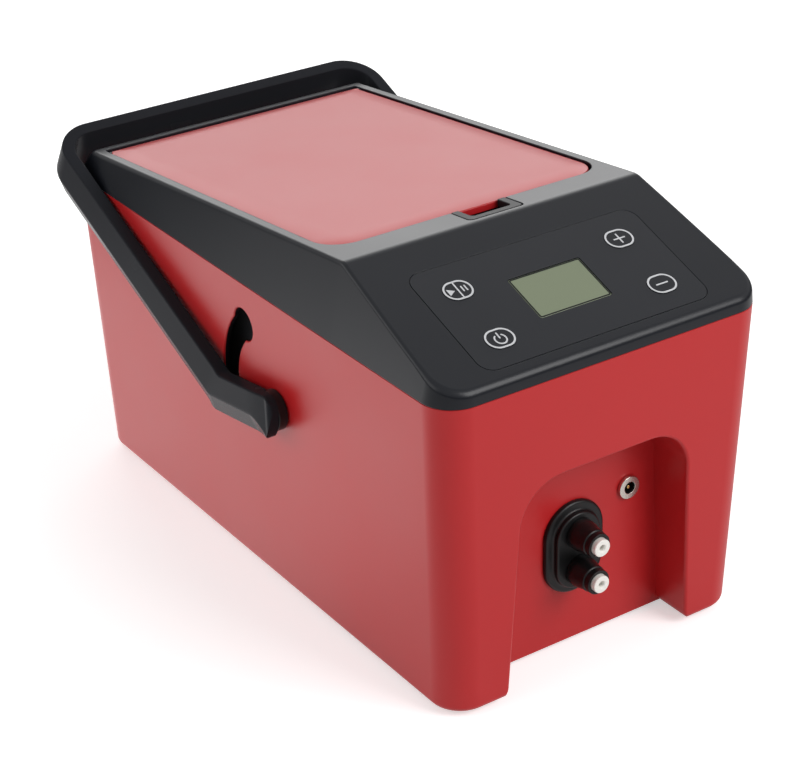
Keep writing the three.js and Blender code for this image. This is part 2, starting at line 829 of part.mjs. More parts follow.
function upperHousing() {
  const shellBlock = housingSolid(0, 0, housingEdgeRadius, 0);
  const roomBlock = housingSolid(wall, wall, 0, overrun);
  const rimBlock = prism(pocketOutline(lidGap + pocketRim), ledgeBottom, overrun, onLid);
  const solidRim = rimBlock.intersect(shellBlock);
  let housing = join(cut(shellBlock, roomBlock), solidRim);
  const pocket = prism(pocketOutline(lidGap), ledgeTop, overrun, onLid);
  const through = roundedBox(
    -tankHalfWidth - gap - gap, tankHalfWidth + gap + gap,
    tankFrontY - gap - gap, tankRearY + gap + gap, tankCorner,
  );
  const opening = prism(through, columnTop, lidFrontHeight + overrun, alongZ);
  const finger = prism(bezelOutline(gap, lidFrontY), -bezelDepth - gap, overrun, onLid);
  const film = roundedBox(-overlayHalfWidth - gap, overlayHalfWidth + gap,
    overlayTop - gap, overlayBottom + gap, overlayCorner);
  const filmSeat = prism(film, -overlayThickness - gap, overrun, onPanel);
  const fingerFloor = prism(
    bezelOutline(gap + wall, lidFrontY), -bezelDepth - gap - wall, -wall * halfShare, onLid,
  );
  const bosses = [];
  const pilots = [];
  [-screwX, screwX].forEach((x) => {
    [screwFrontY, screwRearY].forEach((y) => {
      const top = ceiling(y) - wall * halfShare;
      bosses.push(rod(bossRadius, columnTop + gap, top, x, y, alongZ, smallCircleSteps));
      const pilotTop = screwSeat + screwLength + gap;
      pilots.push(rod(screwShank + gap, 0, pilotTop, x, y, alongZ, smallCircleSteps));
    });
  });
  const posts = [];
  [-1, 1].forEach((side) => {
    [boardTop + boardPostInset, boardBottom - boardPostInset].forEach((s) => {
      const x = side * (overlayHalfWidth - boardPostInset);
      posts.push(rod(boardPostRadius, gap - boardDrop, -wall * halfShare, x, s, onPanel,
        smallCircleSteps));
    });
  });
  const lipRing = (z, inset) => bodyRing(partingHeight, inset).map(([x, y]) => [x, y, z]);
  const lipTop = partingHeight + wall * halfShare;
  const lipInset = wall + gap;
  const lipBottom = partingHeight - lipDepth;
  const lipBody = join(
    loft([bodyRing(lipBottom, lipInset), bodyRing(partingHeight, lipInset),
      lipRing(lipTop, lipInset)]),
    loft([lipRing(partingHeight, wall * halfShare), lipRing(lipTop, wall * halfShare)])
      .intersect(shellBlock),
  );
  const lipRoom = loft([
    bodyRing(lipBottom - overrun, lipInset + lipThickness),
    lipRing(lipTop + overrun, lipInset + lipThickness),
  ]);
  const lip = cut(lipBody, lipRoom);
  housing = join(housing, fingerFloor, ...bosses, ...posts, lip);
  housing = cut(housing, pocket, opening, finger, filmSeat, ...pilots);
  const windowHole = centredBox(displayCentreX, displayCentreS, displayWidth + gap + gap,
    displayHeight + gap + gap, displayCorner);
  housing = cut(housing, prism(windowHole, -overrun, overrun, onPanel));
  keys.forEach(([, x, s]) => {
    const hole = obround(x, s, keyWidth + gap + gap, keyHeight + gap + gap);
    housing = cut(housing, prism(hole, -overrun, overrun, onPanel));
  });
  [alongX, mirrored(alongX)].forEach((place) => {
    housing = cut(housing, hingePinRod(hingePinRadius + gap, gap, place));
  });
  return housing;
}

// The hinge line of the lid, as a point of the body
const hingePoint = onLid(0, hingeLineY, pinLineDepth);
const hingePinOuter = lidHalfWidth + lidGap + hingePinInFrame;

function hingePinRod(radius, spare, place) {
  const inner = hingePinOuter - hingePinLength;
  return rod(radius, inner - spare, hingePinOuter + spare, hingePoint[1], hingePoint[2], place,
    smallCircleSteps);
}

function lidPanel() {
  const front = lidFrontCorner;
  const rear = lidRearCorner;
  const ring = (inset, w) => roundedBox(-lidHalfWidth + inset, lidHalfWidth - inset,
    lidFrontY + inset, lidRearY - inset, front - inset, rear - inset)
    .map(([u, v]) => onLid(u, v, w));
  const rings = [ring(0, skirtBottom)];
  for (let i = 0; i <= cornerSteps; i += 1) {
    const angle = quarterTurn * i / cornerSteps;
    const inset = lidEdgeRound * (1 - Math.cos(angle));
    rings.push(ring(inset, -lidEdgeRound * (1 - Math.sin(angle))));
  }
  const inside = lidHalfWidth - lidSkirtThickness;
  const hollow = roundedBox(-inside, inside, lidFrontY + lidSkirtThickness,
    hingeLineY + overrun, front - lidSkirtThickness, rear);
  const rearPart = centredBox(0, hingeLineY + lidRearY, bodyWidth + overrun,
    lidRearY + lidRearY, rear);
  const plate = cut(loft(rings), prism(hollow, skirtBottom - overrun, -lidThickness, onLid),
    prism(rearPart, skirtBottom - overrun, overrun, onLid));
  const round = circle(hingePoint[1], hingePoint[2], hingeBarrelRadius, circleSteps);
  const barrel = prism(round, -lidHalfWidth, lidHalfWidth, alongX);
  return cut(join(plate, barrel),
    hingePinRod(hingePinRadius + gap, gap, alongX),
    hingePinRod(hingePinRadius + gap, gap, mirrored(alongX)));
}

function lidLiner() {
  const half = lidHalfWidth - lidSkirtThickness - gap;
  const front = lidFrontY + lidSkirtThickness + gap;
  const rear = hingeLineY - hingeBarrelRadius - gap - gap;
  const plate = roundedBox(-half, half, front, rear, lidFrontCorner - lidSkirtThickness,
    lidRearCorner);
  const slack = tankWall + hingeClearance;
  const ring = (extra) => roundedBox(
    -tankHalfWidth + slack + extra, tankHalfWidth - slack - extra,
    tankFrontY + slack + hingeClearance + extra, tankRearY - slack - extra,
    tankCorner - slack - extra,
  );
  const wallTop = linerTop - linerThickness * halfShare;
  return join(
    prism(plate, linerBottom, linerTop, onLid),
    cut(prism(ring(0), -linerPlugDepth, wallTop, onLid),
      prism(ring(linerPlugWall), -linerPlugDepth - overrun, overrun, onLid)),
  );
}

function lidGasket() {
  const ring = (inset) => roundedBox(-tankFlangeHalf + inset, tankFlangeHalf - inset,
    tankFlangeFront + inset, tankFlangeRear - inset, tankCorner + tankFlangeReach - inset);
  return cut(prism(ring(gap), gasketBottom, gasketTop, onLid),
    prism(ring(gap + gasketWidth), gasketBottom - overrun, gasketTop + overrun, onLid));
}

function latchBezel() {
  const rear = lidFrontY - lidGap;
  const half = bezelWidth * halfShare - bezelWall;
  const cup = roundedBox(fingerCentreX - half, fingerCentreX + half, bezelFrontY + bezelWall,
    rear + overrun, bezelCorner * halfShare);
  return cut(prism(bezelOutline(0, rear), -bezelDepth, 0, onLid),
    prism(cup, bezelFloor - bezelDepth, overrun, onLid));
}

function spigot(low, high, x, z) {
  return rod(spigotRadius, low, high, x, z, alongY, smallCircleSteps);
}

function reservoirTank() {
  const box = (inset) => roundedBox(-tankHalfWidth + inset, tankHalfWidth - inset,
    tankFrontY + inset, tankRearY - inset, tankCorner - inset);
  const flangeBox = roundedBox(-tankFlangeHalf, tankFlangeHalf, tankFlangeFront,
    tankFlangeRear, tankCorner + tankFlangeReach);
  const lidded = centredBox(0, 0, bodyLength, bodyLength, overrun);
  const above = prism(lidded, flangeTop, bodyLength, onLid);
  const inside = prism(box(tankWall), tankBottom + tankWall, lidFrontHeight, alongZ);
  const outside = cut(prism(box(0), tankBottom, lidFrontHeight, alongZ), above);
  const flange = prism(flangeBox, flangeBottom, flangeTop, onLid);
  const tank = cut(join(outside, flange), inside);
  const inner = tankFrontY + tankWall * halfShare;
  const ports = join(tank,
    spigot(tankFrontY - outletSpigotLength, inner, pumpX, outletHeight),
    spigot(tankFrontY - inletSpigotLength, inner, 0, inletHeight));
  const low = tankFrontY - outletSpigotLength - overrun;
  const high = tankFrontY + tankWall + overrun;
  return cut(ports,
    rod(spigotBore, low, high, pumpX, outletHeight, alongY, smallCircleSteps),
    rod(spigotBore, low, high, 0, inletHeight, alongY, smallCircleSteps));
}

function tankSleeve() {
  const box = (spread) => roundedBox(-tankHalfWidth - spread, tankHalfWidth + spread,
    tankFrontY - spread, tankRearY + spread, tankCorner + spread);
  const lidded = centredBox(0, 0, bodyLength, bodyLength, overrun);
  const above = prism(lidded, -sleeveTopDrop, bodyLength, onLid);
  const outside = prism(box(gap + sleeveThickness), sleeveBottom, lidFrontHeight, alongZ);
  const inside = prism(box(gap), tankBottom - gap, lidFrontHeight, alongZ);
  const low = tankFrontY - sleeveThickness - overrun;
  const high = tankFrontY + overrun;
  return cut(outside, above, inside,
    rod(spigotRadius + gap, low, high, pumpX, outletHeight, alongY),
    rod(spigotRadius + gap, low, high, 0, inletHeight, alongY));
}

function tankStrainer() {
  const low = tankFrontY + tankWall + gap;
  const high = low + strainerDepth;
  const inner = strainerRadius - strainerWall;
  const cap = turned([[0, high], [strainerRadius, high], [strainerRadius, low], [inner, low],
    [inner, high - strainerWall], [0, high - strainerWall]], pumpX, outletHeight, alongY);
  const pitch = (inner + inner) / strainerSlotCount;
  const slots = Array.from({ length: strainerSlotCount }, (unused, i) => {
    const u = pumpX - inner + pitch * (i + halfShare);
    const off = u - pumpX;
    const reach = Math.sqrt(inner * inner - off * off) - strainerWall;
    const slot = centredBox(u, outletHeight, strainerSlot, reach + reach, 0);
    return prism(slot, low + strainerWall, high + overrun, alongY);
  });
  return cut(cap, ...slots);
}

const pumpFrontY = pumpRearY - pumpDepth;
const portZ = outletHeight + volutePortOffset;
const portY = pumpRearY - pumpDepth * halfShare;

function waterPump() {
  const inner = pumpRadius - pumpWall;
  const port = pumpX + voluteReach;
  const cup = rod(pumpRadius, pumpFrontY, pumpRearY, pumpX, outletHeight, alongY);
  const spout = rod(spigotRadius, pumpX, port, portY, portZ, alongX, smallCircleSteps);
  const room = rod(inner, pumpFrontY + pumpWall, pumpRearY + overrun, pumpX, outletHeight,
    alongY);
  const shaftHole = rod(shaftRadius + gap, pumpFrontY - overrun, pumpRearY, pumpX,
    outletHeight, alongY, smallCircleSteps);
  const bore = rod(spigotBore, pumpX, port + overrun, portY, portZ, alongX,
    smallCircleSteps);
  return cut(join(cup, spout), room, shaftHole, bore);
}

function pumpCover() {
  const low = pumpRearY + gap;
  const face = low + coverThickness;
  const end = face + coverSpigot;
  return turned([[spigotBore, low], [pumpRadius, low], [pumpRadius, face],
    [spigotRadius, face], [spigotRadius, end], [spigotBore, end]],
  pumpX, outletHeight, alongY);
}

const impellerLow = pumpFrontY + pumpWall + impellerClearance;

function pumpImpeller() {
  const face = impellerLow + impellerDisc;
  const top = face + impellerBladeHeight;
  const hub = join(
    rod(impellerRadius, impellerLow, face, pumpX, outletHeight, alongY),
    rod(impellerHub, impellerLow, top, pumpX, outletHeight, alongY, smallCircleSteps),
    rod(shaftRadius, pumpFrontY - shaftLength, top, pumpX, outletHeight, alongY,
      smallCircleSteps),
  );
  const blades = Array.from({ length: impellerBladeCount }, (unused, i) => {
    const angle = fullTurn * i / impellerBladeCount;
    const across = impellerBladeThickness * halfShare;
    const corners = [[0, -across], [impellerRadius - across, -across],
      [impellerRadius - across, across], [0, across]];
    const outline = corners.map(([r, t]) => [
      pumpX + r * Math.cos(angle) - t * Math.sin(angle),
      outletHeight + r * Math.sin(angle) + t * Math.cos(angle),
    ]);
    return prism(outline, impellerLow, top, alongY);
  });
  return join(hub, ...blades);
}

function pumpMotor() {
  const high = pumpFrontY - gap;
  const shaft = rod(shaftRadius + gap, high - shaftLength - gap, high + overrun, pumpX,
    outletHeight, alongY, smallCircleSteps);
  return cut(rod(motorRadius, high - motorLength, high, pumpX, outletHeight, alongY), shaft);
}

function waterHeater() {
  const start = heaterStartX;
  const end = start + heaterLength;
  return turned([[spigotBore, start - heaterSpigot], [spigotRadius, start - heaterSpigot],
    [spigotRadius, start], [heaterRadius, start], [heaterRadius, end], [spigotRadius, end],
    [spigotRadius, end + heaterSpigot], [spigotBore, end + heaterSpigot]],
  portY, portZ, alongX);
}

function pumpCradle() {
  const low = wall + gap;
  const top = low + cradleThickness;
  const base = roundedBox(-cradleHalfWidth, cradleHalfWidth, cradleFrontY, cradleRearY,
    cradleThickness);
  const saddle = (x, y, width, depth, z) => prism(
    centredBox(x, y, width, depth, 0), low, z, alongZ,
  );
  const motorY = pumpFrontY - motorLength * halfShare;
  const heaterX = heaterStartX + heaterLength * halfShare;
  const motorTool = rod(motorRadius + gap, cradleFrontY - overrun, pumpFrontY, pumpX,
    outletHeight, alongY);
  const heaterTool = rod(heaterRadius + gap, 0, bodyWidth, portY, portZ, alongX);
  return cut(join(
    prism(base, low, top, alongZ),
    saddle(pumpX, motorY, saddleWidth, motorLength - saddleThickness, outletHeight - overrun),
    saddle(heaterX, portY, saddleThickness + saddleThickness, saddleWidth, portZ - overrun),
  ), motorTool, heaterTool);
}

const backInside = recessBackY + wall;
const hoseEnd = backInside + couplingInside + gap;
const sleeveFace = tankFrontY - gap - sleeveThickness - gap;

function supplyHose() {
  const heaterEnd = heaterStartX + heaterLength;
  const turnY = portY - heaterRadius - hoseOuter - wall;
  const turnX = heaterEnd + heaterSpigot + heaterSpigot + overrun;
  return hose([[0, hoseEnd, lowerCouplingZ], [0, turnY, lowerCouplingZ], [turnX, turnY, portZ],
    [turnX, portY, portZ], [heaterEnd + gap, portY, portZ]]);
}

function returnHose() {
  const turnY = sleeveFace - hoseBend - hoseBend - overrun;
  return hose([[0, hoseEnd, upperCouplingZ], [0, turnY - hoseBend, upperCouplingZ],
    [0, turnY, inletHeight], [0, sleeveFace, inletHeight]]);
}

function suctionHose() {
  return hose([[pumpX, pumpRearY + coverThickness + gap + gap, outletHeight],
    [pumpX, sleeveFace, outletHeight]]);
}

function outletHose() {
  return hose([[pumpX + pumpRadius + gap, portY, portZ], [heaterStartX - gap, portY, portZ]]);
}

const plateBack = recessBackY - gap;
const plateFace = plateBack - plateThickness;
const bossFace = plateFace - bossThickness;

function connectorPlate() {
  const flange = obround(0, plateCentreZ, plateWidth, plateHeight);
  const boss = obround(0, plateCentreZ, bossWidth, bossHeight);
  const holes = [upperCouplingZ, lowerCouplingZ].map((z) => rod(couplingRadius + gap,
    bossFace - overrun, plateBack + overrun, 0, z, alongY));
  return cut(join(prism(flange, plateFace, plateBack, alongY),
    prism(boss, bossFace, plateBack, alongY)), ...holes);
}

const collarBack = bossFace - gap;
const collarFace = collarBack - couplingCollarLength;
const noseFace = collarFace - couplingNoseLength;
const tipInnerY = tipFaceY + tipLength;

function couplingBody(z) {
  const inside = backInside + couplingInside;
  const end = inside + barbLength;
  const seat = tipRadius + gap;
  const seatDepth = tipInnerY + tipTravel + gap + gap;
  const groove = couplingNose - couplingGroove;
  const g0 = collarFace - couplingGrooveWidth;
  const g1 = g0 - couplingGrooveWidth;
  const g2 = g1 - couplingGrooveWidth;
  const g3 = g2 - couplingGrooveWidth;
  return turned([[barbBore, end], [barbRadius, end], [barbRadius, inside],
    [couplingRadius, inside], [couplingRadius, collarBack], [couplingCollar, collarBack],
    [couplingCollar, collarFace], [couplingNose, collarFace], [couplingNose, g0], [groove, g0],
    [groove, g1], [couplingNose, g1], [couplingNose, g2], [groove, g2], [groove, g3],
    [couplingNose, g3], [couplingNose, noseFace], [seat, noseFace], [seat, seatDepth],
    [barbBore, seatDepth]], 0, z, alongY, fittingSteps);
}

function couplingTip(z) {
  return turned([[tipBore, tipFaceY], [tipRadius - tipChamfer, tipFaceY],
    [tipRadius, tipFaceY + tipChamfer], [tipRadius, tipInnerY], [tipBore, tipInnerY]],
  0, z, alongY, fittingSteps);
}

const jackFace = plateBack - jackRingThickness;

function jackRing() {
  return pipe(jackRingRadius, jackBodyRadius + gap, jackFace, plateBack, jackX, jackZ, alongY);
}

function jackBody() {
  const end = jackFace + jackBodyLength;
  return turned([[jackPinRadius + gap, end], [jackBodyRadius, end], [jackBodyRadius, jackFace],
    [jackBore, jackFace], [jackBore, jackFace + jackBoreDepth],
    [jackPinRadius + gap, jackFace + jackBoreDepth]], jackX, jackZ, alongY);
}

function jackPin() {
  const end = jackFace + jackBodyLength;
  return rod(jackPinRadius, jackFace + jackPinRecess, end, jackX, jackZ, alongY,
    smallCircleSteps);
}

// Panel pieces, depths measured from the panel face
const panelUnderside = -wall - gap;
const windowTop = -overlayThickness * halfShare;
const switchBottom = gap - boardDrop;
const switchTop = panelUnderside - keyFlangeThickness - keyTravel - gap;

function graphicOverlay() {
  const film = roundedBox(-overlayHalfWidth, overlayHalfWidth, overlayTop, overlayBottom,
    overlayCorner);
  const sheet = prism(film, -overlayThickness, 0, onPanel);
  const windowHole = centredBox(displayCentreX, displayCentreS, displayWidth + gap + gap,
    displayHeight + gap + gap, displayCorner);
  const keyHoles = keys.map(([, x, s]) => prism(
    obround(x, s, keyWidth + gap + gap, keyHeight + gap + gap), -overrun, overrun, onPanel,
  ));
  return cut(sheet, prism(windowHole, -overrun, overrun, onPanel), ...keyHoles);
}

function displayWindow() {
  const pane = centredBox(displayCentreX, displayCentreS, displayWidth, displayHeight,
    displayCorner);
  return prism(pane, windowTop - windowThickness, windowTop, onPanel);
}

function displayModule() {
  const block = centredBox(displayCentreX, displayCentreS, moduleWidth, moduleHeight,
    displayCorner);
  return prism(block, switchBottom, panelUnderside, onPanel);
}

function controlBoard() {
  const sheet = roundedBox(-overlayHalfWidth, overlayHalfWidth, boardTop, boardBottom,
    boardThickness);
  return prism(sheet, -boardDrop - boardThickness, -boardDrop, onPanel);
}

function keyCap(x, s) {
  const reach = keyFlangeReach + keyFlangeReach;
  const low = panelUnderside - keyFlangeThickness;
  return join(
    prism(obround(x, s, keyWidth, keyHeight), low, keyProud, onPanel),
    prism(obround(x, s, keyWidth + reach, keyHeight + reach), low, panelUnderside, onPanel),
  );
}

function tactSwitch(x, s) {
  const body = centredBox(x, s, switchSize, switchSize, 0);
  const shoulder = switchTop - switchPlungerHeight;
  return join(prism(body, switchBottom, shoulder, onPanel),
    rod(switchPlunger, switchBottom, switchTop, x, s, onPanel, smallCircleSteps));
}

// Where two lines n.p = offset cross
function crossing([n1, c1], [n2, c2]) {
  const det = n1[0] * n2[1] - n1[1] * n2[0];
  return [(c1 * n2[1] - c2 * n1[1]) / det, (n1[0] * c2 - n2[0] * c1) / det];
}

// Points of a rounded bend at a corner
function bend(before, corner, after, trim) {
  const toward = (from, to) => {
    const length = Math.hypot(to[0] - from[0], to[1] - from[1]);
    return [0, 1].map((i) => from[i] + (to[i] - from[i]) * trim / length);
  };
  const start = toward(corner, before);
  const end = toward(corner, after);
  return Array.from({ length: handleKneeSteps + 1 }, (unused, i) => {
    const t = i / handleKneeSteps;
    const back = 1 - t;
    return [0, 1].map((k) => (
      start[k] * back * back + corner[k] * t * back / halfShare + end[k] * t * t
    ));
  });
}

// Side outline of one arm's cranked front
function armRing(x, topInset, lowInset, noseInset) {
  const along = [Math.cos(handlePlane), Math.sin(handlePlane)];
  const off = [-along[1], along[0]];
  const ahead = [-Math.cos(handleNosePitch), Math.sin(handleNosePitch)];
  const over = [ahead[1], -ahead[0]];
  const pivot = over[0] * pivotY + over[1] * pivotZ;
  const high = handleRidge - topInset;
  const low = handleRidge - handleDepth + lowInset;
  const noseTop = handleNoseRadius - topInset;
  const noseLow = handleNoseLow - lowInset;
  const rearTop = [0, 1].map((i) => along[i] * (handleOverlap + overrun) + off[i] * high);
  const rearLow = [0, 1].map((i) => along[i] * (handleOverlap + overrun) + off[i] * low);
  const kneeTop = crossing([off, high], [over, pivot + noseTop]);
  const kneeLow = crossing([off, low], [over, pivot - noseLow]);
  const half = (noseTop + noseLow) * halfShare;
  const lift = (noseTop - noseLow) * halfShare;
  const nose = Array.from({ length: circleSteps * halfShare + 1 }, (unused, i) => {
    const t = Math.PI * i / (circleSteps * halfShare);
    const forward = (handleNoseRadius - noseInset) * Math.sin(t);
    const up = lift + half * Math.cos(t);
    return [pivotY + ahead[0] * forward + over[0] * up, pivotZ + ahead[1] * forward + over[1] * up];
  });
  const outline = [
    rearTop,
    ...bend(rearTop, kneeTop, nose[0], handleKneeTrim),
    ...nose,
    ...bend(nose[nose.length - 1], kneeLow, rearLow, handleKneeTrim),
    rearLow,
  ];
  return outline.map(([y, z]) => [x, y, z]);
}

function armFront(side) {
  const rings = [
    armRing(side * (handleHalfWidth - handleThickness), 0, 0, 0),
    armRing(side * (handleHalfWidth - handleBevelInset), 0, 0, 0),
  ];
  for (let i = 0; i <= cornerSteps; i += 1) {
    const angle = quarterTurn * i / cornerSteps;
    const back = handleNoseRound * (1 - Math.sin(angle));
    const topShare = Math.max(0, 1 - back / handleRidgeRound);
    const lowShare = Math.max(0, 1 - back / handleBevelInset);
    rings.push(armRing(side * (handleHalfWidth - back), handleRidgeRound * topShare,
      handleBevelHeight * lowShare, handleNoseRound * (1 - Math.cos(angle))));
  }
  return loft(rings);
}

function handleRing(inset, n) {
  const half = handleHalfWidth - inset;
  const reach = handleReach - inset;
  const r = handleCorner - inset;
  const innerHalf = handleHalfWidth - handleThickness;
  const innerReach = handleReach - handleThickness;
  const innerR = handleCorner - handleThickness;
  const inner = arc(innerHalf - innerR, innerReach - innerR, innerR, 0, quarterTurn, cornerSteps);
  const outer = arc(half - r, reach - r, r, 0, quarterTurn, cornerSteps);
  const flip = (points) => points.map(([x, d]) => [-x, d]).reverse();
  return [
    [half, handleOverlap], ...outer, ...flip(outer), [-half, handleOverlap],
    [-innerHalf, handleOverlap], ...flip(inner).reverse(), ...inner.reverse(),
    [innerHalf, handleOverlap],
  ].map(([x, d]) => inHandle(x, d, n));
}

function carryHandle() {
  const floor = handleRidge - handleDepth;
  const bail = loft([
    handleRing(handleBevelInset, floor),
    handleRing(0, floor + handleBevelHeight),
    handleRing(0, handleRidge - handleRidgeRound),
    handleRing(handleRidgeRound, handleRidge),
  ]);
  const [guideY, guideZ] = atPivot(guideOrbit, guideRest);
  const low = handleHalfWidth - handleThickness - overrun;
  const bores = [alongX, mirrored(alongX)].flatMap((place) => [
    rod(washerRadius + reliefMargin, low, reliefX, pivotY, pivotZ, place),
    rod(pivotShank + gap, low, pinBiteX + gap, pivotY, pivotZ, place, smallCircleSteps),
    rod(guideStub + gap, low, pinBiteX + gap, guideY, guideZ, place, smallCircleSteps),
  ]);
  return cut(join(bail, armFront(1), armFront(-1)), ...bores);
}

const armFaceX = handleHalfWidth - handleThickness;
const shoulderX = armFaceX - gap;
const reliefX = armFaceX + reliefDepth;

function pivotPin(place) {
  const back = pinHeadFaceX - pinHeadThickness;
  return turned([[0, back], [pivotHead, back], [pivotHead, pinHeadFaceX],
    [pivotShank, pinHeadFaceX], [pivotShank, pinBiteX], [0, pinBiteX]], pivotY, pivotZ, place);
}

function guidePin(place) {
  const back = pinHeadFaceX - pinHeadThickness;
  const [y, z] = atPivot(guideOrbit, guideRest);
  return turned([[0, back], [guideFlange, back], [guideFlange, pinHeadFaceX],
    [guideShank, pinHeadFaceX], [guideShank, shoulderX], [guideStub, shoulderX],
    [guideStub, pinBiteX], [0, pinBiteX]], y, z, place);
}

function pivotWasher(place) {
  return pipe(washerRadius, pivotShank + gap, washerFaceX, reliefX - gap, pivotY, pivotZ, place);
}

function foot() {
  const top = footInset - gap;
  return turned([[0, -footHeight], [footRadius - footRound, -footHeight],
    [footRadius, footRound - footHeight], [footRadius, top], [0, top]], 0, 0, alongZ);
}

function housingScrew() {
  const seat = screwSeat - gap;
  const under = seat - screwHeadHeight;
  const screw = turned([[0, under], [screwHeadRadius, under], [screwHeadRadius, seat],
    [screwShank, seat], [screwShank, screwSeat + screwLength], [0, screwSeat + screwLength]],
  0, 0, alongZ, smallCircleSteps);
  const drive = prism(circle(0, 0, screwDrive, screwDriveSides), under - overrun,
    under + screwDriveDepth, alongZ);
  return cut(screw, drive);
}

// Assembly
addPart('lower_shell', lowerShell(), finishes.redShell);
addPart('upper_housing', upperHousing(), finishes.blackShell);
addPart('lid_panel', lidPanel(), finishes.redShell);
addPart('lid_liner', lidLiner(), finishes.whitePlastic);
addPart('lid_gasket', lidGasket(), finishes.blackRubber);
addPart('latch_bezel', latchBezel(), finishes.blackShell);
addPart('reservoir_tank', reservoirTank(), finishes.whitePlastic);
addPart('tank_sleeve', tankSleeve(), finishes.foam);
addPart('tank_strainer', tankStrainer(), finishes.whitePlastic);
addPart('water_pump', waterPump(), finishes.blackShell);
addPart('pump_cover', pumpCover(), finishes.blackShell);
addPart('pump_impeller', pumpImpeller(), finishes.whitePlastic);
addPart('pump_motor', pumpMotor(), finishes.steel);
addPart('water_heater', waterHeater(), finishes.steel);
addPart('pump_cradle', pumpCradle(), finishes.blackShell);
addPart('suction_hose', suctionHose(), finishes.clearHose);
addPart('outlet_hose', outletHose(), finishes.clearHose);
addPart('supply_hose', supplyHose(), finishes.clearHose);
addPart('return_hose', returnHose(), finishes.clearHose);
addPart('connector_plate', connectorPlate(), finishes.blackShell);
addPart('coupling_body_upper', couplingBody(upperCouplingZ), finishes.blackShell);
addPart('coupling_body_lower', couplingBody(lowerCouplingZ), finishes.blackShell);
addPart('coupling_tip_upper', couplingTip(upperCouplingZ), finishes.whitePlastic);
addPart('coupling_tip_lower', couplingTip(lowerCouplingZ), finishes.whitePlastic);
addPart('jack_ring', jackRing(), finishes.steel);
addPart('jack_body', jackBody(), finishes.blackShell);
addPart('jack_pin', jackPin(), finishes.brass);
addPart('graphic_overlay', graphicOverlay(), finishes.film);
addPart('display_window', displayWindow(), finishes.glassGrey);
addPart('display_module', displayModule(), finishes.steel);
addPart('control_board', controlBoard(), finishes.boardGreen);
keys.forEach(([name, x, s]) => {
  addPart(`key_${name}`, keyCap(x, s), finishes.keyGrey);
  addPart(`switch_${name}`, tactSwitch(x, s), finishes.blackShell);
});
addPart('carry_handle', carryHandle(), finishes.blackShell);
[['left', mirrored(alongX)], ['right', alongX]].forEach(([side, place]) => {
  addPart(`pivot_pin_${side}`, pivotPin(place), finishes.steel);
  addPart(`guide_pin_${side}`, guidePin(place), finishes.blackShell);
  addPart(`pivot_washer_${side}`, pivotWasher(place), finishes.blackShell);
  addPart(`lid_hinge_pin_${side}`, hingePinRod(hingePinRadius, 0, place), finishes.steel);
});
[['front', -footY, screwFrontY], ['rear', footY, screwRearY]].forEach(([end, y, screwY]) => {
  [['left', -1], ['right', 1]].forEach(([side, sign]) => {
    addPart(`foot_${end}_${side}`, foot(), finishes.blackRubber)
      .position.set(sign * footX, y, 0);
    addPart(`housing_screw_${end}_${side}`, housingScrew(), finishes.steel)
      .position.set(sign * screwX, screwY, 0);
  });
});

export default group;
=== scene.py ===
# %% [markdown]
# # A hot and cold therapy machine, dressed piece by piece
# The solids that move and collide are already made. This lesson loads them, makes the pieces that the
# eye meets again with finer curves and rounded edges, and gives every surface a finish built from nodes.
# The order is: measures, helpers, finishes, tub, black top, lid, panel, couplings, handle, fixings,
# inside, studio.

# %% Load the frame
import math
import bpy
import bmesh
from mathutils import Matrix, Vector


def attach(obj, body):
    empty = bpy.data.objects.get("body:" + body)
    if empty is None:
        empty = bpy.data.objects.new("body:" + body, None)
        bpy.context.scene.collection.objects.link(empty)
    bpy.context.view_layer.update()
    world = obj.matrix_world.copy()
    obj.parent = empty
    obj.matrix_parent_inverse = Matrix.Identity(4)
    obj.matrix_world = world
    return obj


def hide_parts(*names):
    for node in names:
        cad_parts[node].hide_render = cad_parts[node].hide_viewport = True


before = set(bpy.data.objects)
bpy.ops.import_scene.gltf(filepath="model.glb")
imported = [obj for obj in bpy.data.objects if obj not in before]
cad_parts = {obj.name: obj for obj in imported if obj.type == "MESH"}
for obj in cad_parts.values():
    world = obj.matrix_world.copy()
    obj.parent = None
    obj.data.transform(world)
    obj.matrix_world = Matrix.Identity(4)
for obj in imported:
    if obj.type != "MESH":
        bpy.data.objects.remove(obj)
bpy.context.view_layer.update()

# %% [markdown]
# Every measure below is in millimetres and counted from the body: x and y from its middle, z from the
# tub's lower edge, with the front toward -y. One function turns such a point into metres in the frame.
# It adds the height of the feet and the small shift that centres the machine together with its handle.

# %% Measures of the body
HALF_LONG, HALF_WIDE, CORNER = 188.4, 100.0, 18.0
PART_Z, WALL = 177.7, 3.0
SIDE_LEAN, FRONT_LEAN, REAR_LEAN = 6.0, 5.2, 4.7
CREASE_Y, CREASE_Z = -94.4, 219.8
PANEL_FOOT_Z = 185.5
LID_SLOPE = math.radians(5.93)
PANEL_SLOPE = math.atan2(CREASE_Z - PANEL_FOOT_Z, HALF_LONG + CREASE_Y)
PIVOT_Y, PIVOT_Z = -35.0, 115.5
BAR_Y, BAR_Z, CRANK = HALF_LONG + 5, PART_Z + 24.05, 12.45
HANDLE_PITCH = math.radians(8.6)
HANDLE_PLANE = (math.atan2(BAR_Z - PIVOT_Z, BAR_Y - PIVOT_Y)
                + math.asin(CRANK / math.hypot(BAR_Y - PIVOT_Y, BAR_Z - PIVOT_Z)))
RIDGE = PIVOT_Z * math.cos(HANDLE_PLANE) - PIVOT_Y * math.sin(HANDLE_PLANE) - CRANK
REACH = BAR_Y * math.cos(HANDLE_PLANE) + BAR_Z * math.sin(HANDLE_PLANE)
HANDLE_HALF, HANDLE_THICK, HANDLE_BEND = 110.5, 9.0, 25.0
DEPTH, BEVEL_TALL, BEVEL_IN = 29.2, 11.2, 4.2
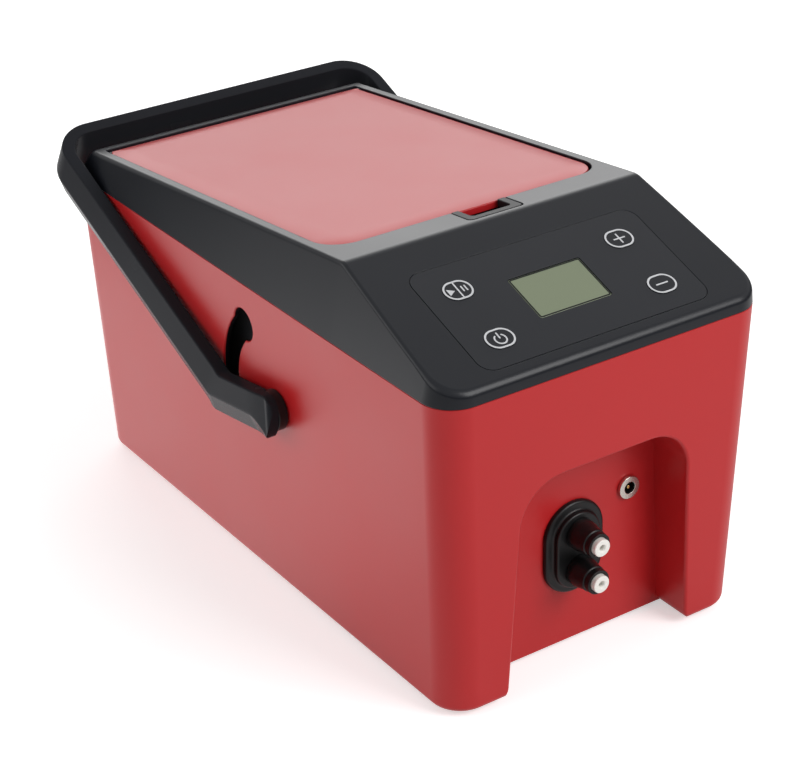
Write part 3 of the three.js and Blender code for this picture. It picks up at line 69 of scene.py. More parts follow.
LEAN, BAR_OUT = 1.5, 0.7
BAR_REAR = BAR_Y + max((DEPTH - BEVEL_TALL) * math.sin(HANDLE_PLANE),
                       DEPTH * math.sin(HANDLE_PLANE) - BEVEL_IN * math.cos(HANDLE_PLANE))
SHIFT = (HALF_LONG - BAR_REAR) / 2
FOOT = 3.0


def spot(x, y, z):
    """A body point in millimetres as a frame point in metres."""
    return (x / 1000, (y + SHIFT) / 1000, (z + FOOT) / 1000)


print("shift in y: %.3f mm" % SHIFT)

# %% [markdown]
# Most pieces of a moulded machine are outlines drawn with a draft, so the main tool here is a loft:
# rings with the same number of points, joined by quads and closed at both ends. Outlines are lists of
# (u, v), and a placing function says which way they stand. Faces made like this keep an even flow,
# which is what lets a highlight run round a corner without a break.

# %% Outlines and placing
QUARTER = math.pi / 2


def quarter_turn(steps):
    """Angles from 0 to 90 degrees, for the rings of a rounded edge."""
    return [QUARTER * i / steps for i in range(steps + 1)]


def arc(cu, cv, r, start, end, steps):
    """Points along an arc, both ends included."""
    return [(cu + r * math.cos(start + (end - start) * i / steps),
             cv + r * math.sin(start + (end - start) * i / steps)) for i in range(steps + 1)]


def rounded_box(u0, u1, v0, v1, low, high=None, steps=12):
    """Box with round corners; the two at the high end of v may have their own radius."""
    high = low if high is None else high
    return (arc(u1 - low, v0 + low, low, -QUARTER, 0, steps)
            + arc(u1 - high, v1 - high, high, 0, QUARTER, steps)
            + arc(u0 + high, v1 - high, high, QUARTER, 2 * QUARTER, steps)
            + arc(u0 + low, v0 + low, low, 2 * QUARTER, 3 * QUARTER, steps))


def centred(cu, cv, w, h, r, steps=12):
    return rounded_box(cu - w / 2, cu + w / 2, cv - h / 2, cv + h / 2, r, steps=steps)


def obround(cu, cv, w, h, steps=12):
    return centred(cu, cv, w, h, min(w, h) / 2 - 0.01, steps)


def disc(cu, cv, r, steps):
    return arc(cu, cv, r, 0, 2 * math.pi, steps)[:-1]


def upright(u, v, w):
    return (u, v, w)


def across(u, v, w):
    return (w, u, v)


def forward(u, v, w):
    return (u, w, v)


def flipped(place):
    """The same place on the body's other side."""
    return lambda u, v, w: (-place(u, v, w)[0],) + place(u, v, w)[1:]


def on_lid(u, y, w):
    """Point on the lid's plane; u across, y along the body, w out of the plane."""
    v = (y - CREASE_Y) / math.cos(LID_SLOPE)
    return (u, CREASE_Y + v * math.cos(LID_SLOPE) + w * math.sin(LID_SLOPE),
            CREASE_Z - v * math.sin(LID_SLOPE) + w * math.cos(LID_SLOPE))


def on_panel(u, s, w):
    """Point on the panel's plane; u across, s down from the crease, w out of the plane."""
    return (u, CREASE_Y - s * math.cos(PANEL_SLOPE) - w * math.sin(PANEL_SLOPE),
            CREASE_Z - s * math.sin(PANEL_SLOPE) + w * math.cos(PANEL_SLOPE))


def ring_at(outline, place, w):
    """An outline stood in its place at one depth."""
    return [place(u, v, w) for u, v in outline]


print("slopes: lid %.2f, panel %.2f degrees" % (math.degrees(LID_SLOPE), math.degrees(PANEL_SLOPE)))

# %% [markdown]
# Every mesh is tidied as soon as it is made: doubles are merged and all faces turned outwards. Marking
# the edges that turn more than about thirty degrees as sharp keeps the flats flat, while the small
# steps of the curves stay smooth.

# %% Lofts and prisms
def tidy(obj, smooth=30, merge=1e-6, collapse=False):
    """Merge doubles, turn all faces outwards, and smooth the edges below an angle."""
    bm = bmesh.new()
    bm.from_mesh(obj.data)
    bmesh.ops.remove_doubles(bm, verts=bm.verts, dist=merge)
    if collapse:
        bmesh.ops.dissolve_degenerate(bm, edges=bm.edges, dist=1e-8)
    bmesh.ops.recalc_face_normals(bm, faces=bm.faces)
    bm.to_mesh(obj.data)
    bm.free()
    obj.data.shade_smooth()
    obj.data.set_sharp_from_angle(angle=math.radians(smooth))


def piece(name, points, faces, finish=None, smooth=30, merge=1e-6, collapse=False):
    mesh = bpy.data.meshes.new(name)
    mesh.from_pydata([spot(*p) for p in points], [], faces)
    obj = bpy.data.objects.new(name, mesh)
    bpy.context.collection.objects.link(obj)
    tidy(obj, smooth, merge, collapse)
    if finish is not None:
        mesh.materials.append(finish)
    return obj


def loft(name, rings, finish=None, ends=None, smooth=30):
    """Rings joined by quads; ends may close the last ring by several faces instead of one."""
    n = len(rings[0])
    points = [p for ring in rings for p in ring]
    faces = []
    for k in range(len(rings) - 1):
        for i in range(n):
            j = (i + 1) % n
            faces.append((k * n + i, k * n + j, (k + 1) * n + j, (k + 1) * n + i))
    last = (len(rings) - 1) * n
    faces.append(tuple(reversed(range(n))))
    for group in ends or [range(n)]:
        faces.append(tuple(last + i for i in group))
    return piece(name, points, faces, finish, smooth)


def prism(name, outline, low, high, place):
    """Straight piece on one outline."""
    return loft(name, [ring_at(outline, place, w) for w in (low, high)])


print("lofts and prisms ready")

# %% [markdown]
# Pins, rings and couplings are lathe work: a profile of radius and depth is repeated at even angles
# about an axis. A profile that starts on the axis makes a solid bar. One that starts off it closes on
# itself and makes a ring. Each corner of a profile is rounded first, because no real edge is sharp.

# %% Lathe work
def turned(name, profile, cu, cv, place, finish=None, sides=48):
    """Lathe work: profile points (radius, depth); a profile off the axis closes on itself."""
    rings = []
    for i in range(sides):
        a = 2 * math.pi * i / sides
        rings.append([place(cu + r * math.cos(a), cv + r * math.sin(a), w) for r, w in profile])
    n = len(profile)
    points = [p for ring in rings for p in ring]
    faces = []
    closed = profile[0][0] > 1e-6
    for k in range(sides):
        m = (k + 1) % sides
        for i in range(n if closed else n - 1):
            j = (i + 1) % n
            faces.append((k * n + i, k * n + j, m * n + j, m * n + i))
    return piece(name, points, faces, finish, merge=1e-7, collapse=True)


def rod(name, r, low, high, cu, cv, place):
    """Plain round bar, for the cutters of holes."""
    return turned(name, [(0, low), (r, low), (r, high), (0, high)], cu, cv, place)


def rounded_profile(points, r, steps):
    """Round every corner of an open profile except its two ends."""
    out = [points[0]]
    for a, b, c in zip(points, points[1:], points[2:]):
        va, vc = Vector(a) - Vector(b), Vector(c) - Vector(b)
        t = min(r, va.length * 0.45, vc.length * 0.45)
        p, q = Vector(b) + va.normalized() * t, Vector(b) + vc.normalized() * t
        for i in range(steps + 1):
            s = i / steps
            out.append(tuple(p * (1 - s) ** 2 + Vector(b) * 2 * s * (1 - s) + q * s * s))
    return out + [points[-1]]


def round_part(name, profile, cu, cv, place, finish, r=0.4, steps=4, sides=48):
    """Lathe work with rounded edges; a profile that starts off the axis makes a ring."""
    hollow = profile[0][0] > 0
    shaped = rounded_profile(profile + profile[:1] if hollow else profile, r, steps)
    return turned(name, shaped[:-1] if hollow else shaped, cu, cv, place, finish, sides)


print("a rounded corner has", len(rounded_profile([(1, 0), (1, 1), (0, 1)], 0.4, 4)) - 2, "points")

# %% [markdown]
# Openings are cut with exact booleans, because a hole in a wall that leans or curves is hard to build
# face by face. Each cut is baked into plain mesh at once, so no modifier is left on a finished piece,
# and the cut piece is tidied again.

# %% Cuts and finishes
def bake(obj):
    """Turn an object's modifiers into plain mesh."""
    graph = bpy.context.evaluated_depsgraph_get()
    mesh = bpy.data.meshes.new_from_object(obj.evaluated_get(graph))
    old = obj.data
    obj.modifiers.clear()
    obj.data = mesh
    bpy.data.meshes.remove(old)


def carve(obj, tools, how="DIFFERENCE", smooth=30):
    """Cut, join or intersect a piece with each tool in turn, and remove the tools."""
    for tool in tools:
        mod = obj.modifiers.new("cut", "BOOLEAN")
        mod.operation, mod.solver, mod.object = how, "EXACT", tool
        bake(obj)
        old = tool.data
        bpy.data.objects.remove(tool)
        bpy.data.meshes.remove(old)
    tidy(obj, smooth, 1e-7)
    return obj


def paint(obj, finish):
    """Give a piece one finish and no other."""
    obj.data.materials.clear()
    obj.data.materials.append(finish)


print("cuts ready")

# %% [markdown]
# Moulded plastic is never one even colour. It has a fine grain from the tool steel, a broad and very
# slight unevenness of tone, and patches that are a little glossier where hands rub. One builder makes
# all the plastics here: two noise patterns at different scales drive the tone, the roughness and a
# shallow bump. Only the sizes and strengths differ from finish to finish.

# %% Finish builder for plastics and metals
BROAD_MM, BUMP_DEEP = 60.0, 0.00002


def linear(*rgb):
    """A colour of the screen as the light values that a shader takes."""
    return tuple(((c / 255 + 0.055) / 1.055) ** 2.4 if c > 10 else c / 255 / 12.92 for c in rgb) + (1,)


def value_node(tree, kind, *values):
    """Math node whose values are numbers or sockets."""
    node = tree.nodes.new("ShaderNodeMath")
    node.operation = kind
    for index, value in enumerate(values):
        if isinstance(value, (int, float)):
            node.inputs[index].default_value = value
        else:
            tree.links.new(value, node.inputs[index])
    return node.outputs[0]


def mix_node(tree, kind, a, b, factor):
    """Blend of two fixed values by a socket, as a colour or as a number."""
    node = tree.nodes.new("ShaderNodeMix")
    node.data_type = kind
    first = 6 if kind == "RGBA" else 2
    node.inputs[first].default_value = a
    node.inputs[first + 1].default_value = b
    tree.links.new(factor, node.inputs[0])
    return node.outputs[2 if kind == "RGBA" else 0]


def moulded(name, base, tone=0.05, rough=0.4, rough_span=0.06, grain=0.25, grain_mm=0.45,
            metallic=0.0, coat=0.0, coat_rough=0.1, shine=0.5):
    mat = bpy.data.materials.new(name)
    mat.use_nodes = True
    tree = mat.node_tree
    shader = tree.nodes["Principled BSDF"]
    coords = tree.nodes.new("ShaderNodeTexCoord")
    broad = tree.nodes.new("ShaderNodeTexNoise")
    broad.inputs["Scale"].default_value = 1000 / BROAD_MM
    broad.inputs["Detail"].default_value = 3
    fine = tree.nodes.new("ShaderNodeTexNoise")
    fine.inputs["Scale"].default_value = 1000 / grain_mm
    fine.inputs["Detail"].default_value = 2
    for tex in (broad, fine):
        tree.links.new(coords.outputs["Object"], tex.inputs["Vector"])
    dark = tuple(c * (1 - tone) for c in base[:3]) + (1,)
    light = tuple(min(1, c * (1 + tone)) for c in base[:3]) + (1,)
    colour = mix_node(tree, "RGBA", dark, light, broad.outputs["Fac"])
    tree.links.new(colour, shader.inputs["Base Color"])
    level = mix_node(tree, "FLOAT", rough - rough_span, rough + rough_span, broad.outputs["Fac"])
    tree.links.new(level, shader.inputs["Roughness"])
    bump = tree.nodes.new("ShaderNodeBump")
    bump.inputs["Strength"].default_value = grain
    bump.inputs["Distance"].default_value = BUMP_DEEP
    tree.links.new(fine.outputs["Fac"], bump.inputs["Height"])
    tree.links.new(bump.outputs["Normal"], shader.inputs["Normal"])
    shader.inputs["Metallic"].default_value = metallic
    shader.inputs["IOR"].default_value = 1.5
    shader.inputs["Specular IOR Level"].default_value = shine
    shader.inputs["Coat Weight"].default_value = coat
    shader.inputs["Coat Roughness"].default_value = coat_rough
    return mat


print("finish builder ready")

# %% [markdown]
# Colours are given as they would look on a screen. The moulded skins differ a little from one another
# as real batches do: the lid is a touch smoother than the tub, and the handle is a lighter black with
# hardly any mirror light, so that its flat faces stay calm.

# %% The finishes
# The numbers are the change of tone, the roughness and its span, and the grain's depth and size in mm
RED = moulded("red moulded shell", linear(183, 27, 30), 0.03, 0.38, 0.04, 0.35, 0.5, shine=0.42)
RED_LID = moulded("red lid plastic", linear(180, 30, 34), 0.03, 0.32, 0.04, 0.4, 0.5, shine=0.32)
BLACK = moulded("black satin housing", linear(21, 23, 29), 0.08, 0.3, 0.04, 0.35, 0.5, shine=0.29)
BLACK_GRIP = moulded("black handle plastic", linear(39, 40, 44), 0.08, 0.26, 0.05, 0.4, 0.5,
                     shine=0.03)
# This finish also serves as painted shade on the tub's slot walls.
FITTING_BLACK_AND_SLOT_SHADE = moulded("black fitting plastic and painted slot shade", linear(20, 20, 21), 0.08, 0.34, 0.05, 0.3, 0.35,
                        shine=0.3)
FILM = moulded("grey panel film", linear(23, 25, 31), 0.05, 0.31, 0.04, 0.6, 0.3, shine=0.33)
# This finish also serves as painted shade on the display pane's rim.
TRIM_AND_WINDOW_SHADE = moulded("black recess trim and painted window shade", linear(20, 20, 22), 0.06, 0.42, 0.04, 0.3, 0.4, shine=0.18)
KEY_FACE = moulded("key cap film", linear(21, 23, 29), 0.05, 0.32, 0.04, 0.5, 0.3, shine=0.3)
PRINT = moulded("light grey key print", linear(206, 207, 210), 0.03, 0.5, 0.03, 0.3, 0.3)
WHITE_TIP = moulded("white coupling tip", linear(238, 236, 230), 0.03, 0.32, 0.04, 0.3, 0.3)
RUBBER = moulded("black foot rubber", linear(24, 24, 24), 0.1, 0.75, 0.08, 0.6, 0.4)
NICKEL = moulded("nickel jack ring", linear(214, 210, 202), 0.03, 0.22, 0.05, 0.3, 0.3, metallic=1)
BRASS = moulded("brass pin", linear(205, 170, 105), 0.04, 0.25, 0.05, 0.3, 0.3, metallic=1)
STEEL = moulded("zinc plated steel", linear(190, 192, 196), 0.05, 0.32, 0.07, 0.4, 0.3, metallic=1)
TANK = moulded("natural white tank plastic", linear(226, 229, 230), 0.03, 0.4, 0.05, 0.4, 0.6)
FOAM = moulded("grey sleeve foam", linear(70, 72, 76), 0.15, 0.9, 0.05, 1.0, 1.2)
HOSE = moulded("pale silicone hose", linear(205, 210, 210), 0.04, 0.35, 0.05, 0.3, 0.5)
BOARD = moulded("green board lacquer", linear(34, 92, 58), 0.08, 0.4, 0.05, 0.4, 0.4)
print("shell finishes:", RED.name, "and", BLACK.name)

# %% [markdown]
# The display is a reflective liquid crystal behind a clear pane. Unlit, it looks like a grey-green
# sheet that is a little lighter in the middle, with a faint grid of cells. A very fine brick pattern
# gives the grid and a slight uneven tone the sheet, under a smooth clear coat for the pane's shine.

# %% Display finish
def display_finish():
    mat = moulded("grey green display", linear(122, 132, 104), 0.02, 0.3, 0.03, 0.05, 0.3,
                  coat=0.3, coat_rough=0.05)
    tree = mat.node_tree
    shader = tree.nodes["Principled BSDF"]
    old = shader.inputs["Base Color"].links[0].from_socket
    coords = tree.nodes["Texture Coordinate"]
    cells = tree.nodes.new("ShaderNodeTexBrick")
    cells.inputs["Scale"].default_value = 400
    cells.inputs["Mortar Size"].default_value = 0.06
    cells.inputs["Color1"].default_value = (1, 1, 1, 1)
    cells.inputs["Color2"].default_value = (0.97, 0.97, 0.97, 1)
    cells.inputs["Mortar"].default_value = (0.9, 0.9, 0.9, 1)
    cells.offset = 0
    tree.links.new(coords.outputs["Object"], cells.inputs["Vector"])
    blend = tree.nodes.new("ShaderNodeMix")
    blend.data_type, blend.blend_type = "RGBA", "MULTIPLY"
    blend.inputs[0].default_value = 1
    tree.links.new(old, blend.inputs[6])
    tree.links.new(cells.outputs["Color"], blend.inputs[7])
    tree.links.new(blend.outputs[2], shader.inputs["Base Color"])
    return mat


DISPLAY = display_finish()
print("display finish:", DISPLAY.name)

# %% [markdown]
# The tub is one red moulding. Its walls lean in toward the bottom so that it leaves the mould, its
# upright corners are rounded, and the foot edge is rounded too. The front has an arched recess. I cut
# the arch from a block lofted with the same draft, then take the inside away, which leaves walls of an
# even thickness all round, the recess's own walls among them.

# %% Tub outlines
# Half widths of the arch at the foot and 100 mm up, then its height, corner radius and foot's flare
ARCH_FOOT, ARCH_TOP, ARCH_H, ARCH_R, ARCH_FLARE = 58.0, 54.0, 122.2, 25.0, 6.0
# The recess's back wall, the round of its mouth, and how far a cutter stands clear of the body
BACK_Y, ARCH_LIP, CLEAR = -158.9, 1.8, 8.0


def body_ring(z, inset):
    """Outline of the leaning tub at one height, drawn in by an inset."""
    rise = 1 - min(z, PART_Z) / PART_Z
    half = HALF_WIDE - SIDE_LEAN * rise - inset
    low = -HALF_LONG + FRONT_LEAN * rise + inset
    high = HALF_LONG - REAR_LEAN * rise - inset
    return ring_at(rounded_box(-half, half, low, high, CORNER - inset, steps=14), upright, z)


def arch_ring(spread, y_at):
    """Arch with flared feet, widened by spread; y_at gives the depth at each height."""
    foot, r = ARCH_FOOT + spread, ARCH_R + spread
    half = foot + (ARCH_TOP - ARCH_FOOT) * ARCH_H / 100
    right = ([(foot + ARCH_FLARE, -CLEAR)]
             + arc(foot + ARCH_FLARE, ARCH_FLARE, ARCH_FLARE, -QUARTER, -2 * QUARTER, 6)
             + arc(half - r, ARCH_H - ARCH_R, r, 0, QUARTER, 14))
    ring = right + [(-x, z) for x, z in reversed(right)]
    return [(x, y_at(z), z) for x, z in ring]


def arch_block(name, spread, back):
    """Solid of the recess, with a soft mouth that follows the leaning front."""
    def ahead(depth):
        return lambda z: depth - HALF_LONG + FRONT_LEAN * (1 - z / PART_Z)

    rings = [arch_ring(spread + ARCH_LIP, ahead(-CLEAR))]
    for a in quarter_turn(6):
        grow, depth = ARCH_LIP * (1 - math.sin(a)), ARCH_LIP * (1 - math.cos(a))
        rings.append(arch_ring(spread + grow, ahead(depth)))
    rings.append(arch_ring(spread, lambda z: BACK_Y + back))
    return loft(name, rings)


print("arch spans %.0f mm at the foot" % (2 * ARCH_FOOT))

# %% [markdown]
# Each side wall has a curved slot about the handle's pivot, with a wider round head at its upper end.
# Its outline is four arcs whose meeting points are worked out, so that it closes without a step. The
# cutter widens by a small round where it leaves the wall, and that makes the mouth soft.

# %% The slot in the side walls
ORBIT, SLOT_REST, SLOT_END = 47.8, math.radians(-14), math.radians(51.2)
SLOT_HALF, SLOT_HEAD, SLOT_LIP = 7.2, 9.2, 1.1
# Where the cutter starts and ends, and how far from the slot's middle line its walls are looked for
SLOT_INSIDE, SLOT_OUTSIDE, SLOT_REACH = 86, 106, 10.5


def around_pivot(r, a):
    return (PIVOT_Y + r * math.cos(a), PIVOT_Z + r * math.sin(a))


def slot_outline(grow):
    """Curved slot with a keyhole head, as one outline in (y, z)."""
    half, head = SLOT_HALF + grow, SLOT_HEAD + grow
    rest, top = around_pivot(ORBIT, SLOT_REST), around_pivot(ORBIT, SLOT_END)

    def meeting(r):
        back = math.acos((r * r + ORBIT * ORBIT - head * head) / (2 * r * ORBIT))
        y, z = around_pivot(r, SLOT_END - back)
        return back, math.atan2(z - top[1], y - top[0])

    back_out, angle_out = meeting(ORBIT + half)
    back_in, angle_in = meeting(ORBIT - half)
    if angle_in < angle_out:
        angle_in += 2 * math.pi
    points = arc(rest[0], rest[1], half, SLOT_REST - math.pi, SLOT_REST, 14)
    points += arc(PIVOT_Y, PIVOT_Z, ORBIT + half, SLOT_REST, SLOT_END - back_out, 24)[1:]
    points += arc(top[0], top[1], head, angle_out, angle_in, 30)[1:]
    points += arc(PIVOT_Y, PIVOT_Z, ORBIT - half, SLOT_END - back_in, SLOT_REST, 24)[1:-1]
    return points


def wall_x(z):
    return HALF_WIDE - SIDE_LEAN * (1 - z / PART_Z)


def slot_cutter(place):
    """Cutter for the slot, with a soft mouth that follows the leaning wall."""
    rings = [ring_at(slot_outline(0), place, SLOT_INSIDE)]
    for a in quarter_turn(5):
        rings.append([place(u, v, wall_x(v) - SLOT_LIP + SLOT_LIP * math.sin(a))
                      for u, v in slot_outline(SLOT_LIP * (1 - math.cos(a)))])
    rings.append(ring_at(slot_outline(SLOT_LIP), place, SLOT_OUTSIDE))
    return loft("slot cutter", rings)


def paint_slot_shade(obj):
    """Paint the slot's own walls dark: painted shade of the red wall's thickness, which lies in shadow.
    """
    # The tub's own slot walls take this black finish as painted shade.
    obj.data.materials.append(FITTING_BLACK_AND_SLOT_SHADE)
    count = 0
    for face in obj.data.polygons:
        y, z = face.center.y * 1000 - SHIFT, face.center.z * 1000 - FOOT
        away = math.hypot(y - PIVOT_Y, z - PIVOT_Z)
        inside = abs(away - ORBIT) < SLOT_REACH and y > PIVOT_Y + 20 and abs(face.center.x) > 0.09
        if inside and abs(face.normal.x) < 0.3:
            face.material_index = 1
            count += 1
    return count


print("slot outline:", len(slot_outline(0)), "points")

# %% [markdown]
# The tub has a column near each corner for the housing's screw, with a well that lets a driver in from
# below. All the holes are cut after the columns are joined on, since a join would fill the wells.

# %% The tub and its cuts
TUB_ROUND, RIM_ROUND = 4, 0.5
COLUMNS = [(x, y) for x in (-80, 80) for y in (-168, 165)]
COLUMN_R, COLUMN_TOP, WELL_R, WELL_TOP, BELOW = 6, 150, 3.9, 140, -9
FEET = [(x, y) for x in (-68, 68) for y in (-144, 144)]
SEAT_R, SEAT_Z = 10.3, 1.2
PIVOT_HOLE_R, HOSE_HOLE_R, JACK_HOLE_R, SIDE_INNER, SIDE_OUTER = 4.3, 7.3, 5, 80, 110
COUPLING_Z = {"upper": 67.7, "lower": 45.9}
JACK_X, JACK_Z = 36.2, 79.7
HOLE_FRONT, HOLE_REAR = -172, -150


def hose_holes():
    return [rod("hose hole", HOSE_HOLE_R, HOLE_FRONT, HOLE_REAR, 0, z, forward)
            for z in COUPLING_Z.values()]


def make_tub():
    rings = [body_ring(TUB_ROUND * (1 - math.cos(a)), TUB_ROUND * (1 - math.sin(a)))
             for a in quarter_turn(8)]
    rings += [body_ring(PART_Z - drop, inset)
              for drop, inset in ((RIM_ROUND, 0), (0.15, 0.15), (0, RIM_ROUND))]
    tub = loft("red_tub", rings)
    room = loft("room", [body_ring(z, WALL) for z in (WALL, PART_Z, PART_Z + 9)])
    carve(room, [arch_block("thick arch", WALL, WALL)])
    carve(tub, [arch_block("arch", 0, 0), room])
    columns = [rod("column", COLUMN_R, WALL / 2, COLUMN_TOP, x, y, upright) for x, y in COLUMNS]
    carve(tub, columns, "UNION")
    tools = [rod("well", WELL_R, BELOW, WELL_TOP, x, y, upright) for x, y in COLUMNS]
    tools += [rod("foot seat", SEAT_R, BELOW, SEAT_Z, x, y, upright) for x, y in FEET]
    for place in (across, flipped(across)):
        tools.append(slot_cutter(place))
        tools.append(rod("pivot hole", PIVOT_HOLE_R, SIDE_INNER, SIDE_OUTER, PIVOT_Y, PIVOT_Z, place))
    tools += hose_holes()
    tools.append(rod("jack hole", JACK_HOLE_R, HOLE_FRONT, HOLE_REAR, JACK_X, JACK_Z, forward))
    carve(tub, tools)
    paint(tub, RED)
    print("dark slot faces:", paint_slot_shade(tub))
    return tub


tub = make_tub()
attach(tub, "body")
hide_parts("lower_shell")
print("tub faces:", len(tub.data.polygons))

# %% [markdown]
# The black top is a single moulding with two slopes: the lid plane falls toward the rear and the
# control panel falls toward the front. Its sides are ruled between the tub's outline and the narrower
# outline on the lid plane. I find each ring point by walking up the ruled wall until it meets the roof
# less a small drop, so that the top edge is rounded evenly, even across the crease.

# %% Rings of the black top
CREASE_SOFT, TOP_EDGE, FRONT_EDGE = 2.2, 2.0, 3.2
# The wide round of the front fades into the narrow one between these distances from the front
FADE_NEAR, FADE_FAR = 7, 30
CORNER_STEPS, SIDE_STEPS, BENDS = 14, 7, 5
# How far each outline draws in at the sides and the rear, then its front and rear corner radii
LOW_PLAN, HIGH_PLAN = (0, 0, CORNER, CORNER), (7.6, 14.4, 13, 3.5)


def lid_z(y):
    return CREASE_Z - (y - CREASE_Y) * math.tan(LID_SLOPE)


def panel_z(y):
    return CREASE_Z + (y - CREASE_Y) * math.tan(PANEL_SLOPE)


def roof(y):
    """Height of the two planes, with a soft bend at the crease."""
    away = abs(y - CREASE_Y)
    flat = min(lid_z(y), panel_z(y))
    if away >= CREASE_SOFT:
        return flat
    bend = (math.tan(LID_SLOPE) + math.tan(PANEL_SLOPE)) * CREASE_SOFT / 4
    return flat - bend * (1 - away / CREASE_SOFT) ** 2


def top_plan(inset, narrow, rear_in, front_r, rear_r):
    """Outline of the top from above, with points along its sides that gather at the crease."""
    half, low, high = HALF_WIDE - narrow - inset, -HALF_LONG + inset, HALF_LONG - rear_in - inset
    r, rr = front_r - inset, max(rear_r - inset, 0.4)
    ys = [CREASE_Y + CREASE_SOFT * (2 * i / (BENDS - 1) - 1) for i in range(BENDS)]
    ends = (low + r, ys[0]), (ys[-1], high - rr)
    before, after = ([a + (b - a) * i / (SIDE_STEPS + 1) for i in range(1, SIDE_STEPS + 1)]
                     for a, b in ends)
    ys = before + ys + after
    return (arc(half - r, low + r, r, -QUARTER, 0, CORNER_STEPS) + [(half, y) for y in ys]
            + arc(half - rr, high - rr, rr, 0, QUARTER, CORNER_STEPS)
            + arc(rr - half, high - rr, rr, QUARTER, 2 * QUARTER, CORNER_STEPS)
            + [(-half, y) for y in reversed(ys)]
            + arc(r - half, low + r, r, 2 * QUARTER, 3 * QUARTER, CORNER_STEPS))


def top_ring(inset, drop):
    """Ring where the leaning walls, drawn in by inset, meet the roof lowered by drop."""
    ring = []
    for (ax, ay), (bx, by) in zip(top_plan(inset, *LOW_PLAN), top_plan(inset, *HIGH_PLAN)):
        bz = lid_z(by)
        start, end = 0.0, 1.0
        for _ in range(30):
            t = (start + end) / 2
            if PART_Z + (bz - PART_Z) * t < roof(ay + (by - ay) * t) - drop:
                start = t
            else:
                end = t
        ring.append((ax + (bx - ax) * t, ay + (by - ay) * t, PART_Z + (bz - PART_Z) * t))
    return ring


def smooth_step(start, end, value):
    share = min(max((value - start) / (end - start), 0), 1)
    return share * share * (3 - 2 * share)


def rounded_rim(inset, drop, edge, a):
    return top_ring(inset + edge * (1 - math.cos(a)), drop + edge * (1 - math.sin(a)))


def top_solid(name, inset, drop, edge, wide, foot):
    """Closed solid of the top; its rim round is wide at the front and narrow along the sides."""
    rings = [ring_at(top_plan(i, *LOW_PLAN), upright, z) for i, z in foot]
    for a in quarter_turn(8):
        ring = []
        for p, q in zip(rounded_rim(inset, drop, edge, a), rounded_rim(inset, drop, wide, a)):
            share = smooth_step(-HALF_LONG + FADE_FAR, -HALF_LONG + FADE_NEAR, p[1])
            ring.append(tuple(u + (v - u) * share for u, v in zip(p, q)))
        rings.append(ring)
    side, count = CORNER_STEPS + 1 + SIDE_STEPS, len(rings[0])
    right = [side + i for i in range(BENDS)]
    left = [count - 1 - i for i in right]
    front = list(range(side)) + [right[0], left[0]] + list(range(count - side, count))
    rear = list(range(right[-1], left[-1] + 1))
    strips = [[right[i], right[i + 1], left[i + 1], left[i]] for i in range(BENDS - 1)]
    return loft(name, rings, None, [front] + strips + [rear])


print("crease at y %.1f, %.1f high" % (CREASE_Y, CREASE_Z))

# %% [markdown]
# The black top is hollow, with a rim round the lid's pocket on its inside. The pocket, the finger
# recess and the film's seat are cut by outlines that grow as they near the surface, so their edges are
# soft. The holes for the display and the keys lie under the film and are plain. The same outlines
# later cut the film and shape the keys.

# %% The black top and its cuts
LID_HALF, LID_FRONT, LID_REAR, LID_R, LID_GAP = 85.4, -73.5, 167.0, 16.0, 0.8
POCKET_DEEP, POCKET_REAR_R, RIM_DEEP, RIM_TOP, RIM_REAR_R = 9.0, 1.8, 12.0, 1.5, 4.8
FINGER_X, BEZEL_W, BEZEL_FRONT, BEZEL_R = 3.5, 34.4, -91.2, 3.0
FINGER_DEEP, FINGER_GAP, FINGER_WALL = 12.3, 0.25, 3.3
POCKET_LIP, FINGER_LIP, SEAT_LIP, THROUGH = 0.5, 0.35, 0.25, 6
# Left, right, front, rear and corner radius of the opening over the tank
MOUTH, MOUTH_LOW, MOUTH_HIGH = (-77.6, 77.6, -58.6, 146.6, 14), 150, 230
FILM_HALF, FILM_TOP, FILM_FOOT, FILM_R, FILM_GAP, SEAT_DEEP = 70, 21, 92, 8, 0.3, 0.9
# Middle across and down the panel, width and height of the display, and the middles of the keys
SCREEN, SCREEN_GAP, SCREEN_R = (-0.6, 56.8, 44.0, 28.7), 0.6, 1.5
KEYS = {"power": (-50, 75), "play_pause": (-50, 39), "plus": (50, 39), "minus": (50, 75)}
KEY_CAP, KEY_HOLE, KEY_BASE = (16.4, 12.9), (16.6, 13.1), (19.2, 15.7)


def pocket(grow, rear_r):
    """Outline of the lid, grown outwards, with small rear corners."""
    return rounded_box(-LID_HALF - grow, LID_HALF + grow, LID_FRONT - grow, LID_REAR + grow,
                       LID_R + grow, rear_r)


def bezel_outline(grow, rear, r=BEZEL_R):
    """Finger recess's outline, open toward the lid."""
    half, low = BEZEL_W / 2 + grow, BEZEL_FRONT - grow
    return (arc(FINGER_X + half - r, low + r, r, -QUARTER, 0, 8)
            + [(FINGER_X + half, rear), (FINGER_X - half, rear)]
            + arc(FINGER_X - half + r, low + r, r, 2 * QUARTER, 3 * QUARTER, 8))


def film_outline(inset):
    return rounded_box(-FILM_HALF + inset, FILM_HALF - inset, FILM_TOP + inset, FILM_FOOT - inset,
                       FILM_R - inset)


def screen_hole(grow):
    cx, cs, w, h = SCREEN
    return centred(cx, cs, w + SCREEN_GAP + 2 * grow, h + SCREEN_GAP + 2 * grow, SCREEN_R + grow)


def key_outline(name, size, grow=0):
    x, s = KEYS[name]
    return obround(x, s, size[0] + 2 * grow, size[1] + 2 * grow)


def flared(name, outline_at, place, depth, lip):
    """Cutter whose mouth opens by a small round at the surface, so that the cut edge is soft."""
    rings = [ring_at(outline_at(0), place, -depth)]
    for a in quarter_turn(4):
        rings.append(ring_at(outline_at(lip * (1 - math.cos(a))), place, -lip + lip * math.sin(a)))
    rings.append(ring_at(outline_at(lip), place, THROUGH))
    return loft(name, rings)


